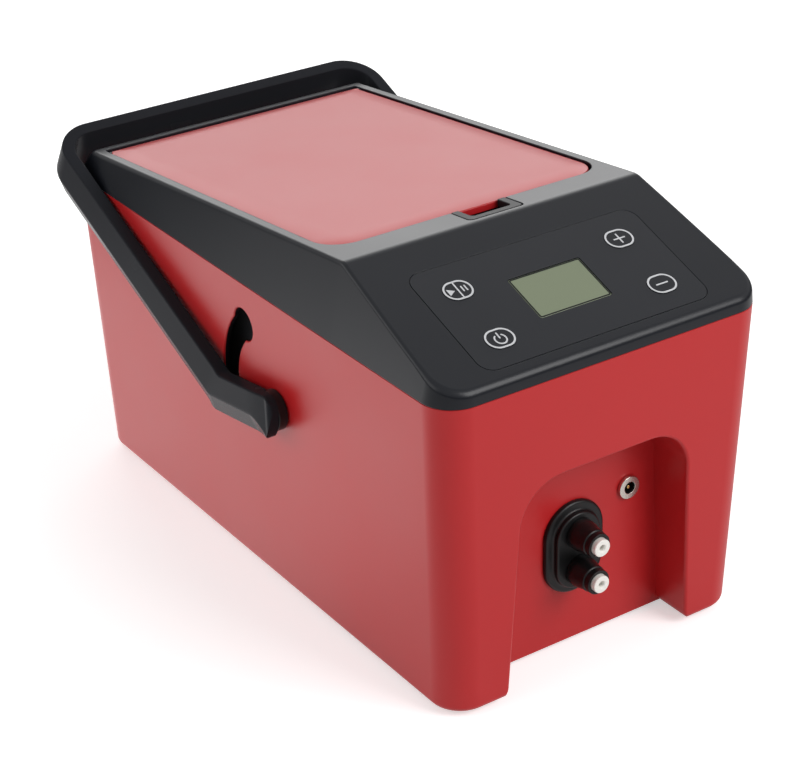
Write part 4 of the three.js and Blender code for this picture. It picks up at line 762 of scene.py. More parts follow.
def make_top():
    block = top_solid("black_top", 0, 0, TOP_EDGE, FRONT_EDGE,
                      [(0.5, PART_Z + 0.02), (0.15, PART_Z + 0.17), (0, PART_Z + 0.5)])
    room = top_solid("room", WALL, WALL, 0.01, FRONT_EDGE - WALL,
                     [(WALL, PART_Z - 9), (WALL, PART_Z - 0.5)])
    rim = prism("rim", pocket(LID_GAP + WALL, RIM_REAR_R), -RIM_DEEP, -RIM_TOP, on_lid)
    cup = prism("cup", bezel_outline(FINGER_WALL, LID_FRONT), -FINGER_DEEP - WALL, -RIM_TOP, on_lid)
    carve(block, [room])
    carve(block, [rim, cup], "UNION")
    tools = [
        flared("pocket", lambda g: pocket(LID_GAP + g, POCKET_REAR_R), on_lid, POCKET_DEEP,
               POCKET_LIP),
        prism("mouth", rounded_box(*MOUTH), MOUTH_LOW, MOUTH_HIGH, upright),
        flared("finger", lambda g: bezel_outline(FINGER_GAP + g, LID_FRONT, BEZEL_R + g), on_lid,
               FINGER_DEEP, FINGER_LIP),
        flared("film seat", lambda g: film_outline(-FILM_GAP - g), on_panel, SEAT_DEEP, SEAT_LIP),
        prism("window hole", screen_hole(0), -THROUGH, THROUGH, on_panel),
    ]
    tools += [prism("key hole", key_outline(name, KEY_HOLE), -THROUGH, THROUGH, on_panel)
              for name in KEYS]
    carve(block, tools)
    paint(block, BLACK)
    return block


top = make_top()
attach(top, "body")
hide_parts("upper_housing")
print("black top faces:", len(top.data.polygons))

# %% [markdown]
# The finger recess in front of the lid has its own black trim: a small open cup with a face about five
# millimetres wide. The lid's red edge closes its rear side. A step round the trim's outer rim leaves a
# thin dark line between it and the black top, and the mouth of the cup is a small round.

# %% Recess trim
TRIM_FACE, TRIM_CUP_DEEP, TRIM_LIP = 5, 10.4, 0.6
# The rim's rings from below: how far each is drawn in, and its height on the lid's plane
TRIM_RIM = ((0, -12), (0, -2), (0.4, -2), (0.4, -0.45), (0.53, -0.13), (0.85, 0))


def make_bezel():
    rear = LID_FRONT - LID_GAP
    half = BEZEL_W / 2 - TRIM_FACE
    body = loft("recess_trim", [ring_at(bezel_outline(-inset, rear, BEZEL_R - inset * 0.5), on_lid, w)
                                for inset, w in TRIM_RIM])

    def cup(grow):
        return rounded_box(FINGER_X - half - grow, FINGER_X + half + grow,
                           BEZEL_FRONT + TRIM_FACE - grow, rear + 6, 2.0 + grow, 1.0, steps=8)

    carve(body, [flared("cup", cup, on_lid, TRIM_CUP_DEEP, TRIM_LIP)])
    paint(body, TRIM_AND_WINDOW_SHADE)
    return body


bezel = make_bezel()
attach(bezel, "body")
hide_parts("latch_bezel")
print("trim faces:", len(bezel.data.polygons))

# %% [markdown]
# The lid is a red panel with a short skirt all round and a rolled barrel at its rear, which turns on
# two pins. Its face is flat but for the last twelve millimetres, which fall by one toward the rim. A
# small even round there catches one thin line of light. The solid that collides has square rear
# corners, so the red lid is rounded inside them and two black pieces fill what is left.

# %% Lid panel
BARREL_IN, BARREL_R, BORE_R, BORE_START, BORE_END = 4.3, 3.8, 2, 79.3, 90
HINGE = on_lid(0, LID_REAR - BARREL_IN, -BARREL_IN)
LID_EDGE, CROWN, CROWN_WIDE, SKIRT, SKIRT_FOOT, LID_THICK = 0.7, 1.0, 12.0, 2.0, -4.6, 2.2
LID_CORNER, LID_CORNER_GAP, LID_CORNER_EDGE = 9.0, 0.4, 0.9


def make_lid():
    def ring(inset, w):
        outline = rounded_box(-LID_HALF + inset, LID_HALF - inset, LID_FRONT + inset,
                              LID_REAR - inset, LID_R + 2 - inset, max(2 - inset, 0.3), steps=16)
        return ring_at(outline, on_lid, w)

    rings = [ring(0, SKIRT_FOOT)]
    for a in quarter_turn(6):
        rings.append(ring(LID_EDGE * (1 - math.cos(a)), -CROWN - LID_EDGE * (1 - math.sin(a))))
    for i in range(1, 11):
        rings.append(ring(LID_EDGE + CROWN_WIDE * i / 10, -CROWN * (1 - i / 10) ** 2))
    plate = loft("red_lid", rings)
    line = LID_REAR - BARREL_IN
    inner = rounded_box(-LID_HALF + SKIRT, LID_HALF - SKIRT, LID_FRONT + SKIRT, line + 9, 14, 1)
    hollow = prism("hollow", inner, -20, -LID_THICK, on_lid)
    behind = prism("behind", centred(0, line + 100, 260, 200, 1), -20, 9, on_lid)
    carve(plate, [hollow, behind])
    barrel = prism("barrel", disc(HINGE[1], HINGE[2], BARREL_R, 64), -LID_HALF + 0.01,
                   LID_HALF - 0.01, across)
    carve(plate, [barrel], "UNION")
    carve(plate, [rod("bore", BORE_R, BORE_START, BORE_END, HINGE[1], HINGE[2], place)
                  for place in (across, flipped(across))])
    return plate


def corner_tool(side, r, edge=0.0):
    """Block outside a rear corner's arc; with an edge, its top draws in so the lid's rim is round."""
    cx, cy = LID_HALF - LID_CORNER, LID_REAR - LID_CORNER

    def ring(radius, w):
        points = arc(cx, cy, radius, 0, QUARTER, 16) + [(cx, cy + 20), (cx + 20, cy + 20),
                                                        (cx + 20, cy)]
        return [on_lid(side * u, v, w) for u, v in points]

    rings = [ring(r, -14)]
    for a in quarter_turn(6):
        rings.append(ring(r - edge * (1 - math.cos(a)), -max(edge, 0.5) * (1 - math.sin(a))))
    rings.append(ring(r - edge, 4))
    return loft("corner tool", rings)


def twin(obj, name):
    other = bpy.data.objects.new(name, obj.data.copy())
    bpy.context.collection.objects.link(other)
    return other


lid = make_lid()
corners = []
for side, label in ((1, "right"), (-1, "left")):
    block = twin(lid, "lid_corner_" + label)
    carve(block, [corner_tool(side, LID_CORNER + LID_CORNER_GAP)], "INTERSECT")
    paint(block, BLACK)
    corners.append(block)
carve(lid, [corner_tool(side, LID_CORNER, LID_CORNER_EDGE) for side in (1, -1)])
paint(lid, RED_LID)
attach(lid, "lid")
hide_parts("lid_panel")
for block in corners:
    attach(block, "lid")
print("lid faces:", len(lid.data.polygons), "corner faces:", len(corners[0].data.polygons))

# %% [markdown]
# The control panel is a thin dark film in a shallow seat. It has one window and four key openings. The
# film's rim shows in the photograph only as a faint line, so its edge is a tiny round and the seat's
# lip is soft. The display pane lies just under the film, with a thin dark ring on its rim that is
# painted shade of the window's edge.

# %% Panel film and display
# Depths of the pane's back and face, its edge round, the rise of the dark ring painted on its rim as
# shade, and the window's lip; then that ring's outer and inner insets
PANE_BACK, PANE_FACE, PANE_EDGE, SHADE_RING_UP, WINDOW_LIP = -2.9, -0.3, 0.15, 0.08, 0.12
SHADE_RING_OUT, SHADE_RING_IN = 0.25, 1.0
# The film's rings from its back: how far each is drawn in, and its height on the panel's plane
FILM_RIM = ((0, -0.6), (0, -0.12), (0.05, -0.03), (0.14, 0))


def make_film():
    film = loft("panel_film", [ring_at(film_outline(inset), on_panel, w) for inset, w in FILM_RIM])
    tools = [flared("window", screen_hole, on_panel, THROUGH, WINDOW_LIP)]
    for name in KEYS:
        tools.append(flared("key", lambda g, name=name: key_outline(name, KEY_HOLE, g), on_panel,
                            THROUGH, WINDOW_LIP))
    carve(film, tools)
    paint(film, FILM)
    return film


def make_window():
    cx, cs, w, h = SCREEN

    def outline(inset):
        return centred(cx, cs, w - 2 * inset, h - 2 * inset, 1.2 - inset * 0.5, 8)

    turns = [(PANE_EDGE * (1 - math.sin(a)), PANE_EDGE * (1 - math.cos(a))) for a in quarter_turn(4)]
    levels = [(inset, PANE_BACK + rise) for inset, rise in turns]
    levels += [(inset, PANE_FACE - rise) for inset, rise in reversed(turns)]
    pane = loft("display_pane", [ring_at(outline(inset), on_panel, level) for inset, level in levels],
                DISPLAY)
    # A dark ring on the pane's rim, painted shade of the window's edge.
    shade_ring = prism("display_frame", outline(SHADE_RING_OUT), PANE_FACE, PANE_FACE + SHADE_RING_UP, on_panel)
    carve(shade_ring, [prism("inside", outline(SHADE_RING_IN), -1, 1, on_panel)])
    shade_ring.data.materials.append(TRIM_AND_WINDOW_SHADE)
    return pane, shade_ring


film = make_film()
pane, pane_shade_ring = make_window()
for obj, node, slot in ((film, "graphic_overlay", "panel_film"),
                        (pane, "display_window", "display_pane")):
    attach(obj, "body")
    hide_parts(node)
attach(pane_shade_ring, "body")
print("film faces:", len(film.data.polygons))

# %% [markdown]
# Each key is a pad-shaped cap a little proud of the film, on a wider base under it. A light ring is
# printed along its rim and a sign inside. The prints are thin raised shapes and not a picture, so
# they stay sharp close up: a sign is made of strokes with round ends, an arc, or a plain polygon.

# %% Key caps with their printed rings and signs
KEY_BACK, KEY_STEP, KEY_TOP, KEY_EDGE = -4.5, -3.3, 0.3, 0.15
PRINT_LOW, PRINT_HIGH, RING_OUT, RING_IN = 0.2, 0.36, 0.15, 1.15


def flat_strip(name, outline, hole=None):
    """Thin raised print of one outline, less a hole inside it."""
    strip = prism(name, outline, PRINT_LOW, PRINT_HIGH, on_panel)
    if hole is not None:
        carve(strip, [prism("hole", hole, PRINT_LOW - 1, PRINT_HIGH + 1, on_panel)])
    return strip


def stroke(x0, s0, x1, s1, width):
    """Round-ended line from one point to another."""
    a = math.atan2(s1 - s0, x1 - x0)
    return (arc(x1, s1, width / 2, a - QUARTER, a + QUARTER, 5)
            + arc(x0, s0, width / 2, a + QUARTER, a + 3 * QUARTER, 5))


def ring_stroke(cx, cs, r, width, start, end):
    """Round-ended part of a circle."""
    half = width / 2
    cap0 = (cx + r * math.cos(start), cs + r * math.sin(start))
    cap1 = (cx + r * math.cos(end), cs + r * math.sin(end))
    return (arc(cx, cs, r + half, start, end, 28)
            + arc(cap1[0], cap1[1], half, end, end + math.pi, 5)[1:]
            + arc(cx, cs, r - half, end, start, 28)[1:]
            + arc(cap0[0], cap0[1], half, start + math.pi, start + 2 * math.pi, 5)[1:-1])


def key_signs(name, x, s):
    """Outlines of a key's sign about its middle."""
    line = 0.85
    if name == "power":
        gap = math.radians(38)
        upper = -QUARTER
        return [ring_stroke(x, s + 0.6, 3.1, line, upper + gap, upper + 2 * math.pi - gap),
                stroke(x, s - 3.6, x, s - 0.1, line)]
    if name == "plus":
        a, b = 3.6, line / 2
        return [[(x - b, s - a), (x + b, s - a), (x + b, s - b), (x + a, s - b), (x + a, s + b),
                 (x + b, s + b), (x + b, s + a), (x - b, s + a), (x - b, s + b), (x - a, s + b),
                 (x - a, s - b), (x - b, s - b)]]
    if name == "minus":
        return [stroke(x - 3.4, s, x + 3.4, s, line)]
    return [[(x - 5.7, s - 2.3), (x - 1.9, s), (x - 5.7, s + 2.3)],
            stroke(x, s - 5.3, x, s + 5.3, 0.8),
            stroke(x + 2.6, s - 1.6, x + 2.6, s + 1.6, 0.8),
            stroke(x + 4.6, s - 1.6, x + 4.6, s + 1.6, 0.8)]


def make_key(name, x, s):
    def outline(inset):
        return key_outline(name, KEY_CAP, -inset)

    rings = [ring_at(key_outline(name, KEY_BASE), on_panel, w) for w in (KEY_BACK, KEY_STEP)]
    rings.append(ring_at(outline(0), on_panel, KEY_STEP))
    for a in quarter_turn(4):
        rings.append(ring_at(outline(KEY_EDGE * (1 - math.cos(a))), on_panel,
                             KEY_TOP - KEY_EDGE * (1 - math.sin(a))))
    cap = loft("key_cap_" + name, rings, KEY_FACE)
    shown = flat_strip("key_print_" + name, outline(RING_OUT), outline(RING_IN))
    for sign in key_signs(name, x, s):
        extra = flat_strip("sign", sign)
        bm = bmesh.new()
        bm.from_mesh(shown.data)
        bm.from_mesh(extra.data)
        bm.to_mesh(shown.data)
        bm.free()
        bpy.data.objects.remove(extra)
    tidy(shown, 30, 1e-7)
    shown.data.materials.append(PRINT)
    return cap, shown


for name, (x, s) in KEYS.items():
    cap, marks = make_key(name, x, s)
    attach(cap, name + "_key")
    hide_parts("key_" + name)
    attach(marks, name + "_key")
print("keys:", len(KEYS))

# %% [markdown]
# The hose couplings stand on a stepped oval plate. All of it is turned or moulded work with small
# rounds: collar, groove, nose, and a white spring-loaded tip with a hole in its middle. Beside them
# sits the power inlet, a bright ring round a dark socket with one pin. A profile holds radius and
# depth along the body, and the recess's back wall is at -158.9.

# %% Couplings, plate and power inlet
# Height of the middle, width and height of each step of the plate, from the wall outwards
FLANGE, GROOVE, BOSS = (57.4, 37.6, 53.8), (57.0, 31, 47.4), (57.0, 28, 44.4)
PLATE_BACK, FLANGE_Y, GROOVE_Y, BOSS_Y = -159.2, -160.2, -161.8, -164.0
FLANGE_EDGE, GROOVE_EDGE, GROOVE_RUN, BOSS_EDGE = 1.6, 1.5, 1.2, 1.2
COUPLING = [(2.4, -135.9), (4, -135.9), (4, -146.9), (7, -146.9), (7, -165.5), (8.6, -165.5),
            (8.6, -168.9), (8.2, -171.2), (7.6, -174.2), (7.3, -177.4), (6.6, -177.7), (6.6, -178.4),
            (7.0, -178.6), (6.8, -181.4), (5.2, -181.4), (5.2, -166.4), (2.4, -166.4)]
TIP = [(1.6, -170), (4.9, -170), (4.9, -184), (2.1, -184), (1.6, -183.2)]
INLET_RING = [(5.0, -159.2), (6.5, -159.2), (6.5, -161.2), (3.4, -161.2), (3.4, -160.7),
              (5.0, -160.7)]
INLET_SOCKET = [(1.3, -143.2), (4.7, -143.2), (4.7, -160.6), (3.3, -160.6), (3.3, -152.2),
                (1.3, -152.2)]
INLET_PIN = [(0, -143.2), (1.1, -143.2), (1.1, -160.2), (0, -160.2)]


def plate_ring(step, inset, y):
    z, wide, tall = step
    return ring_at(obround(0, z, wide - 2 * inset, tall - 2 * inset, 16), forward, y)


def make_plate():
    rings = [plate_ring(FLANGE, 0, PLATE_BACK)]
    for a in quarter_turn(4):
        rings.append(plate_ring(FLANGE, FLANGE_EDGE * (1 - math.cos(a)),
                                FLANGE_Y - FLANGE_EDGE * math.sin(a)))
    for a in quarter_turn(4):
        rings.append(plate_ring(GROOVE, GROOVE_EDGE * math.sin(a),
                                GROOVE_Y - GROOVE_RUN * (1 - math.cos(a))))
    for a in quarter_turn(4):
        rings.append(plate_ring(BOSS, BOSS_EDGE * (1 - math.cos(a)), BOSS_Y - BOSS_EDGE * math.sin(a)))
    plate = loft("coupling_plate", rings)
    carve(plate, hose_holes())
    paint(plate, FITTING_BLACK_AND_SLOT_SHADE)
    return plate


parts = [(make_plate(), "body", "connector_plate", "black_fittings")]
for where, z in COUPLING_Z.items():
    parts.append((round_part("coupling_" + where, COUPLING, 0, z, forward, FITTING_BLACK_AND_SLOT_SHADE, 0.3, 3),
                  "body", "coupling_body_" + where, "black_fittings"))
    parts.append((round_part("coupling_tip_" + where + "_white", TIP, 0, z, forward, WHITE_TIP, 0.6),
                  "tip_" + where, "coupling_tip_" + where, "tip_plastic"))
parts.append((round_part("inlet_ring", INLET_RING, JACK_X, JACK_Z, forward, NICKEL), "body",
              "jack_ring", "jack_ring_metal"))
parts.append((round_part("inlet_socket", INLET_SOCKET, JACK_X, JACK_Z, forward, FITTING_BLACK_AND_SLOT_SHADE, 0.3),
              "body", "jack_body", "black_fittings"))
parts.append((round_part("inlet_pin", INLET_PIN, JACK_X, JACK_Z, forward, BRASS, 0.5, sides=24),
              "body", "jack_pin", "brass_pin"))
for obj, body, node, slot in parts:
    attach(obj, body)
    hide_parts(node)
print("fittings:", len(parts))

# %% [markdown]
# The carry handle is one long bar bent into a crank: a rounded nose at each pivot, a knee, a straight
# arm, a wide corner and the cross bar. I draw its section once, with an outer face that leans in a
# little toward the top and a bevel below it, and carry it along stations that each hold a centre, an
# outward direction and a normal. Only the nose changes the section, by drawing it in to a round end.

# %% Handle section
# Directions along the arm and off it, ahead along the nose and over it, and out to the side
ALONG = Vector((0, math.cos(HANDLE_PLANE), math.sin(HANDLE_PLANE)))
OFF = Vector((0, -math.sin(HANDLE_PLANE), math.cos(HANDLE_PLANE)))
AHEAD = Vector((0, -math.cos(HANDLE_PITCH), math.sin(HANDLE_PITCH)))
OVER = Vector((0, math.sin(HANDLE_PITCH), math.cos(HANDLE_PITCH)))
ASIDE = Vector((1, 0, 0))
CORNER_X = HANDLE_HALF - HANDLE_BEND
SECTION_ROUND = 0.9
NOSE_FRONT, NOSE_X, NOSE_G = 11.0, 2.0, 3.0
NOSE_TOP, NOSE_LOW, NOSE_BEVEL = 11.3, -13.2, -2.0
NOSE_LONG, NOSE_TIP, NOSE_TAPER, NOSE_FULL = 13.0, 7.6, 3.2, 2.6
# The bevel falls along the nose: where it starts, over what length and how far
BEVEL_FROM, BEVEL_RUN, BEVEL_FALL = -11, 18, 9.6


def handle_section(top, low, bevel, out, inset, thick=HANDLE_THICK):
    """The bar's section in order, as (outward, height), with small round edges."""
    lean = LEAN * (top - bevel) / (DEPTH - BEVEL_TALL)
    corners = [(out, bevel), (out - lean, top), (out - thick, top), (out - thick, low),
               (out - inset, low)]
    points = []
    for k, corner in enumerate(corners):
        here = Vector(corner)
        before, after = Vector(corners[k - 1]) - here, Vector(corners[(k + 1) % 5]) - here
        t = min(SECTION_ROUND, before.length * 0.3, after.length * 0.3)
        start, end = here + before.normalized() * t, here + after.normalized() * t
        points.append(tuple(start + before.normalized() * t * 0.4))
        for i in range(6):
            w = i / 5
            points.append(tuple(start * (1 - w) ** 2 + here * 2 * w * (1 - w) + end * w * w))
        points.append(tuple(end + after.normalized() * t * 0.4))
    return points


def nose_section(f):
    """Section of the cranked front, f millimetres ahead of the pivot."""
    share = min(max((f - NOSE_X) / (NOSE_FRONT - NOSE_X), 0), 1)
    top = NOSE_G + (NOSE_TOP - NOSE_G) * (1 - share ** NOSE_FULL) ** (1 / NOSE_FULL)
    low = NOSE_G + (NOSE_LOW - NOSE_G) * (1 - share ** 1.7) ** 0.6
    fade = min(max((f - BEVEL_FROM) / BEVEL_RUN, 0), 1)
    bevel = max(low, NOSE_BEVEL - BEVEL_FALL * fade ** 1.7)
    bevel = min(bevel + 0.02, top - 0.01)
    tip = min(max((f - NOSE_TIP) / (NOSE_FRONT - NOSE_TIP), 0), 1)
    out = HANDLE_BEND - NOSE_TAPER * (1 - (1 - tip ** 2) ** 0.5)
    inset = BEVEL_IN * min(1, (bevel - low) / BEVEL_TALL)
    return handle_section(top, low, bevel, out, inset, thick=HANDLE_THICK - HANDLE_BEND + out)


print("nose section:", len(nose_section(0)), "points")

# %% Handle stations and the handle
KNEE_TRIM, ARM_START = 2.4, 62.0
RELIEF_R, RELIEF_IN, RELIEF_OUT = 11.5, 99, 104


def handle_stations():
    """Rings of the right half, from the nose's tip to the middle of the bar."""
    pivot = Vector((CORNER_X, PIVOT_Y, PIVOT_Z))
    runs = [NOSE_X + (NOSE_FRONT - NOSE_X) * math.sin(math.radians(89) * (1 - i / 21))
            for i in range(22)]
    runs += [NOSE_X - NOSE_LONG * k / 7 for k in range(1, 8)]
    rings = [[pivot + ASIDE * u + AHEAD * f + OVER * g for u, g in nose_section(f)] for f in runs]
    front = handle_section(NOSE_TOP, NOSE_LOW, NOSE_BEVEL, HANDLE_BEND, BEVEL_IN)
    arm = handle_section(RIDGE, RIDGE - DEPTH, RIDGE - DEPTH + BEVEL_TALL, HANDLE_BEND,
                         BEVEL_IN + BAR_OUT)
    knee = []
    for (u, g), (_, n) in zip(front, arm):
        start = pivot + ASIDE * u + OVER * g
        run = (n - OFF.dot(start)) / OFF.dot(-AHEAD)
        knee.append(start - AHEAD * run)
    for i in range(7):
        w = i / 6
        rings.append([c + AHEAD * KNEE_TRIM * (1 - w) ** 2 + ALONG * KNEE_TRIM * w * w for c in knee])
    last = REACH - HANDLE_BEND + BAR_OUT
    for k in range(7):
        d = ARM_START + (last - ARM_START) * k / 6
        rings.append([ASIDE * (CORNER_X + u) + ALONG * d + OFF * n for u, n in arm])
    for a in quarter_turn(20)[1:]:
        out = ASIDE * math.cos(a) + ALONG * math.sin(a)
        rings.append([ASIDE * CORNER_X + ALONG * last + out * u + OFF * n for u, n in arm])
    for k in range(1, 5):
        x = CORNER_X * (1 - k / 4)
        rings.append([ASIDE * x + ALONG * (last + u) + OFF * n for u, n in arm])
    return rings


def make_handle():
    right = handle_stations()
    left = [[Vector((-p.x, p.y, p.z)) for p in ring] for ring in reversed(right[:-1])]
    bail = loft("carry_bail", right + left, smooth=40)
    outline = arc(0, 0, RELIEF_R, math.pi, QUARTER, 16) + [(20, RELIEF_R), (20, -20), (-RELIEF_R, -20)]
    for side in (1, -1):
        rings = [[Vector((side * x, PIVOT_Y, PIVOT_Z)) + AHEAD * f + OVER * g for f, g in outline]
                 for x in (RELIEF_IN, RELIEF_OUT)]
        carve(bail, [loft("relief", rings)], smooth=40)
    paint(bail, BLACK_GRIP)
    return bail


bail = make_handle()
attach(bail, "handle")
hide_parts("carry_handle")
print("handle faces:", len(bail.data.polygons))

# %% [markdown]
# Pins and washers are lathe work. A pivot pin and a guide pin pass through each side wall into the
# handle, a washer keeps the arm off the wall, and the lid turns on a pin at either end of its barrel.
# Each profile holds radius and distance from the body's middle, and one loop makes both sides.

# %% Pins and washers of the handle and the lid
PIVOT_PIN = [(0, 91.1), (7, 91.1), (7, 93.7), (4, 93.7), (4, 107), (0, 107)]
GUIDE_PIN = [(0, 91.1), (10, 91.1), (10, 93.7), (6, 93.7), (6, 101.2), (3.5, 101.2), (3.5, 107),
             (0, 107)]
PIVOT_WASHER = [(4.3, 98.7), (11.2, 98.7), (11.2, 103.9), (4.3, 103.9)]
LID_PIN = [(0, 79.6), (1.7, 79.6), (1.7, 88.6), (0, 88.6)]
rest_y, rest_z = around_pivot(ORBIT, SLOT_REST)
pins = [
    ("pivot_pin_", PIVOT_PIN, PIVOT_Y, PIVOT_Z, STEEL, "handle", "steel_parts"),
    ("guide_pin_", GUIDE_PIN, rest_y, rest_z, FITTING_BLACK_AND_SLOT_SHADE, "handle", "black_fittings"),
    ("pivot_washer_", PIVOT_WASHER, PIVOT_Y, PIVOT_Z, FITTING_BLACK_AND_SLOT_SHADE, "handle", "black_fittings"),
    ("lid_hinge_pin_", LID_PIN, HINGE[1], HINGE[2], STEEL, "body", "steel_parts"),
]
for side, place in (("right", across), ("left", flipped(across))):
    for stem, profile, y, z, finish, body, slot in pins:
        obj = round_part(stem + "turned_" + side, profile, y, z, place, finish)
        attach(obj, body)
        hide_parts(stem + side)
print("pins and washers:", 2 * len(pins))

# %% [markdown]
# Four rubber feet repeat one shape at four places, which is work for Geometry Nodes. One tree makes a
# cylinder, draws its lower face out and in again for a slanted edge, and puts it at the four points.
# Its sizes are named inputs. The tree ends in Realize Instances and Set Material, and the result is
# baked to plain mesh.

# %% Tree for a turned piece at given places, and the feet
FOOT_Z, FOOT_R, FOOT_TALL, FOOT_EDGE, FOOT_SIDES = -0.55, 10, 3.9, 1.0, 48


def turned_tree(name, finish):
    tree = bpy.data.node_groups.new(name, "GeometryNodeTree")
    tree.interface.new_socket("Places", in_out="INPUT", socket_type="NodeSocketGeometry")
    for label in ("Radius", "Height", "Edge round"):
        tree.interface.new_socket(label, in_out="INPUT", socket_type="NodeSocketFloat")
    tree.interface.new_socket("Sides", in_out="INPUT", socket_type="NodeSocketInt")
    tree.interface.new_socket("Geometry", in_out="OUTPUT", socket_type="NodeSocketGeometry")
    add, link = tree.nodes.new, tree.links.new
    enter, leave = add("NodeGroupInput"), add("NodeGroupOutput")
    radius, height, edge = (enter.outputs[k] for k in ("Radius", "Height", "Edge round"))
    tube = add("GeometryNodeMeshCylinder")
    tube.fill_type = "NGON"
    link(enter.outputs["Sides"], tube.inputs["Vertices"])
    link(radius, tube.inputs["Radius"])
    link(value_node(tree, "SUBTRACT", height, edge), tube.inputs["Depth"])
    lower = add("GeometryNodeExtrudeMesh")
    normal = add("GeometryNodeInputNormal")
    split = add("ShaderNodeSeparateXYZ")
    link(normal.outputs[0], split.inputs[0])
    down = add("FunctionNodeCompare")
    down.data_type, down.operation = "FLOAT", "LESS_THAN"
    link(split.outputs["Z"], down.inputs[0])
    down.inputs[1].default_value = -0.9
    link(tube.outputs["Mesh"], lower.inputs["Mesh"])
    link(down.outputs[0], lower.inputs["Selection"])
    link(edge, lower.inputs["Offset Scale"])
    shrink = add("GeometryNodeScaleElements")
    link(lower.outputs["Mesh"], shrink.inputs["Geometry"])
    link(lower.outputs["Top"], shrink.inputs["Selection"])
    inner = value_node(tree, "SUBTRACT", radius, edge)
    link(value_node(tree, "DIVIDE", inner, radius), shrink.inputs["Scale"])
    place = add("GeometryNodeInstanceOnPoints")
    link(enter.outputs["Places"], place.inputs["Points"])
    link(shrink.outputs["Geometry"], place.inputs["Instance"])
    real, dress = add("GeometryNodeRealizeInstances"), add("GeometryNodeSetMaterial")
    dress.inputs["Material"].default_value = finish
    link(place.outputs["Instances"], real.inputs["Geometry"])
    link(real.outputs["Geometry"], dress.inputs["Geometry"])
    link(dress.outputs["Geometry"], leave.inputs["Geometry"])
    return tree


def repeat_turned(name, places, radius, height, edge, finish):
    points = bpy.data.meshes.new(name)
    points.from_pydata([spot(*p) for p in places], [], [])
    obj = bpy.data.objects.new(name, points)
    bpy.context.collection.objects.link(obj)
    tree = turned_tree(name + " tree", finish)
    mod = obj.modifiers.new("turned", "NODES")
    mod.node_group = tree
    ids = {item.name: item.identifier for item in tree.interface.items_tree
           if item.in_out == "INPUT"}
    for label, value in (("Radius", radius), ("Height", height), ("Edge round", edge)):
        mod[ids[label]] = value / 1000
    mod[ids["Sides"]] = FOOT_SIDES
    bake(obj)
    tidy(obj, 40)
    return obj


feet = repeat_turned("rubber_feet", [(x, y, FOOT_Z) for x, y in FEET], FOOT_R, FOOT_TALL, FOOT_EDGE,
                     RUBBER)
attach(feet, "body")
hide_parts(*["foot_%s_%s" % (a, b) for a in ("front", "rear") for b in ("left", "right")])

# %% [markdown]
# Pieces that stay as solids from the frame, mostly inside the body, still get their finishes here.
# Each node's material slot is given the finish that suits it.

# %% Finishes for the inner solids
INNER = {
    "lid_liner": TANK, "lid_gasket": RUBBER, "reservoir_tank": TANK, "tank_sleeve": FOAM,
    "tank_strainer": WHITE_TIP, "water_pump": FITTING_BLACK_AND_SLOT_SHADE, "pump_cover": FITTING_BLACK_AND_SLOT_SHADE,
    "pump_impeller": WHITE_TIP, "pump_motor": STEEL, "water_heater": STEEL,
    "pump_cradle": FITTING_BLACK_AND_SLOT_SHADE, "suction_hose": HOSE, "outlet_hose": HOSE, "supply_hose": HOSE,
    "return_hose": HOSE, "display_module": STEEL, "control_board": BOARD,
}
for name in KEYS:
    INNER["switch_" + name] = FITTING_BLACK_AND_SLOT_SHADE
for end in ("front", "rear"):
    for side in ("left", "right"):
        INNER["housing_screw_%s_%s" % (end, side)] = STEEL

for name, finish in INNER.items():
    paint(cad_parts[name], finish)
print("inner solids dressed:", len(INNER))

# %% [markdown]
# The studio is plain: a pale floor that keeps the shadow and a white surround that the camera and the
# reflections see. In a real photograph the sides don't mirror the whole bright floor. So what glossy
# rays see of the floor is bright near the machine and fades farther off, and the low part of the
# surround is dim for them too.

# %% Floor and surround
FILL, FAR_GLOSS, FLOOR_GLOW, NEAR_GLOW = 0.45, 0.12, 0.5, 0.75
FLOOR_HALF, FLOOR_TONE, FLOOR_MIDDLE = 6, 0.86, (-0.2, 0.2, 0)
# Distances from the floor's middle, in metres, with the share that reflections see at each
NEAR_FADE, FAR_FADE, LOW_SKY = (0.15, 0.5, 1.0, 0.0), (0.7, 1.7, 0.62, FAR_GLOSS), 0.4


def fade_node(tree, value, start, end, low, high):
    """Smooth step of a value from one level to another."""
    node = tree.nodes.new("ShaderNodeMapRange")
    node.interpolation_type = "SMOOTHSTEP"
    tree.links.new(value, node.inputs["Value"])
    for label, number in (("From Min", start), ("From Max", end), ("To Min", low), ("To Max", high)):
        node.inputs[label].default_value = number
    return node.outputs["Result"]


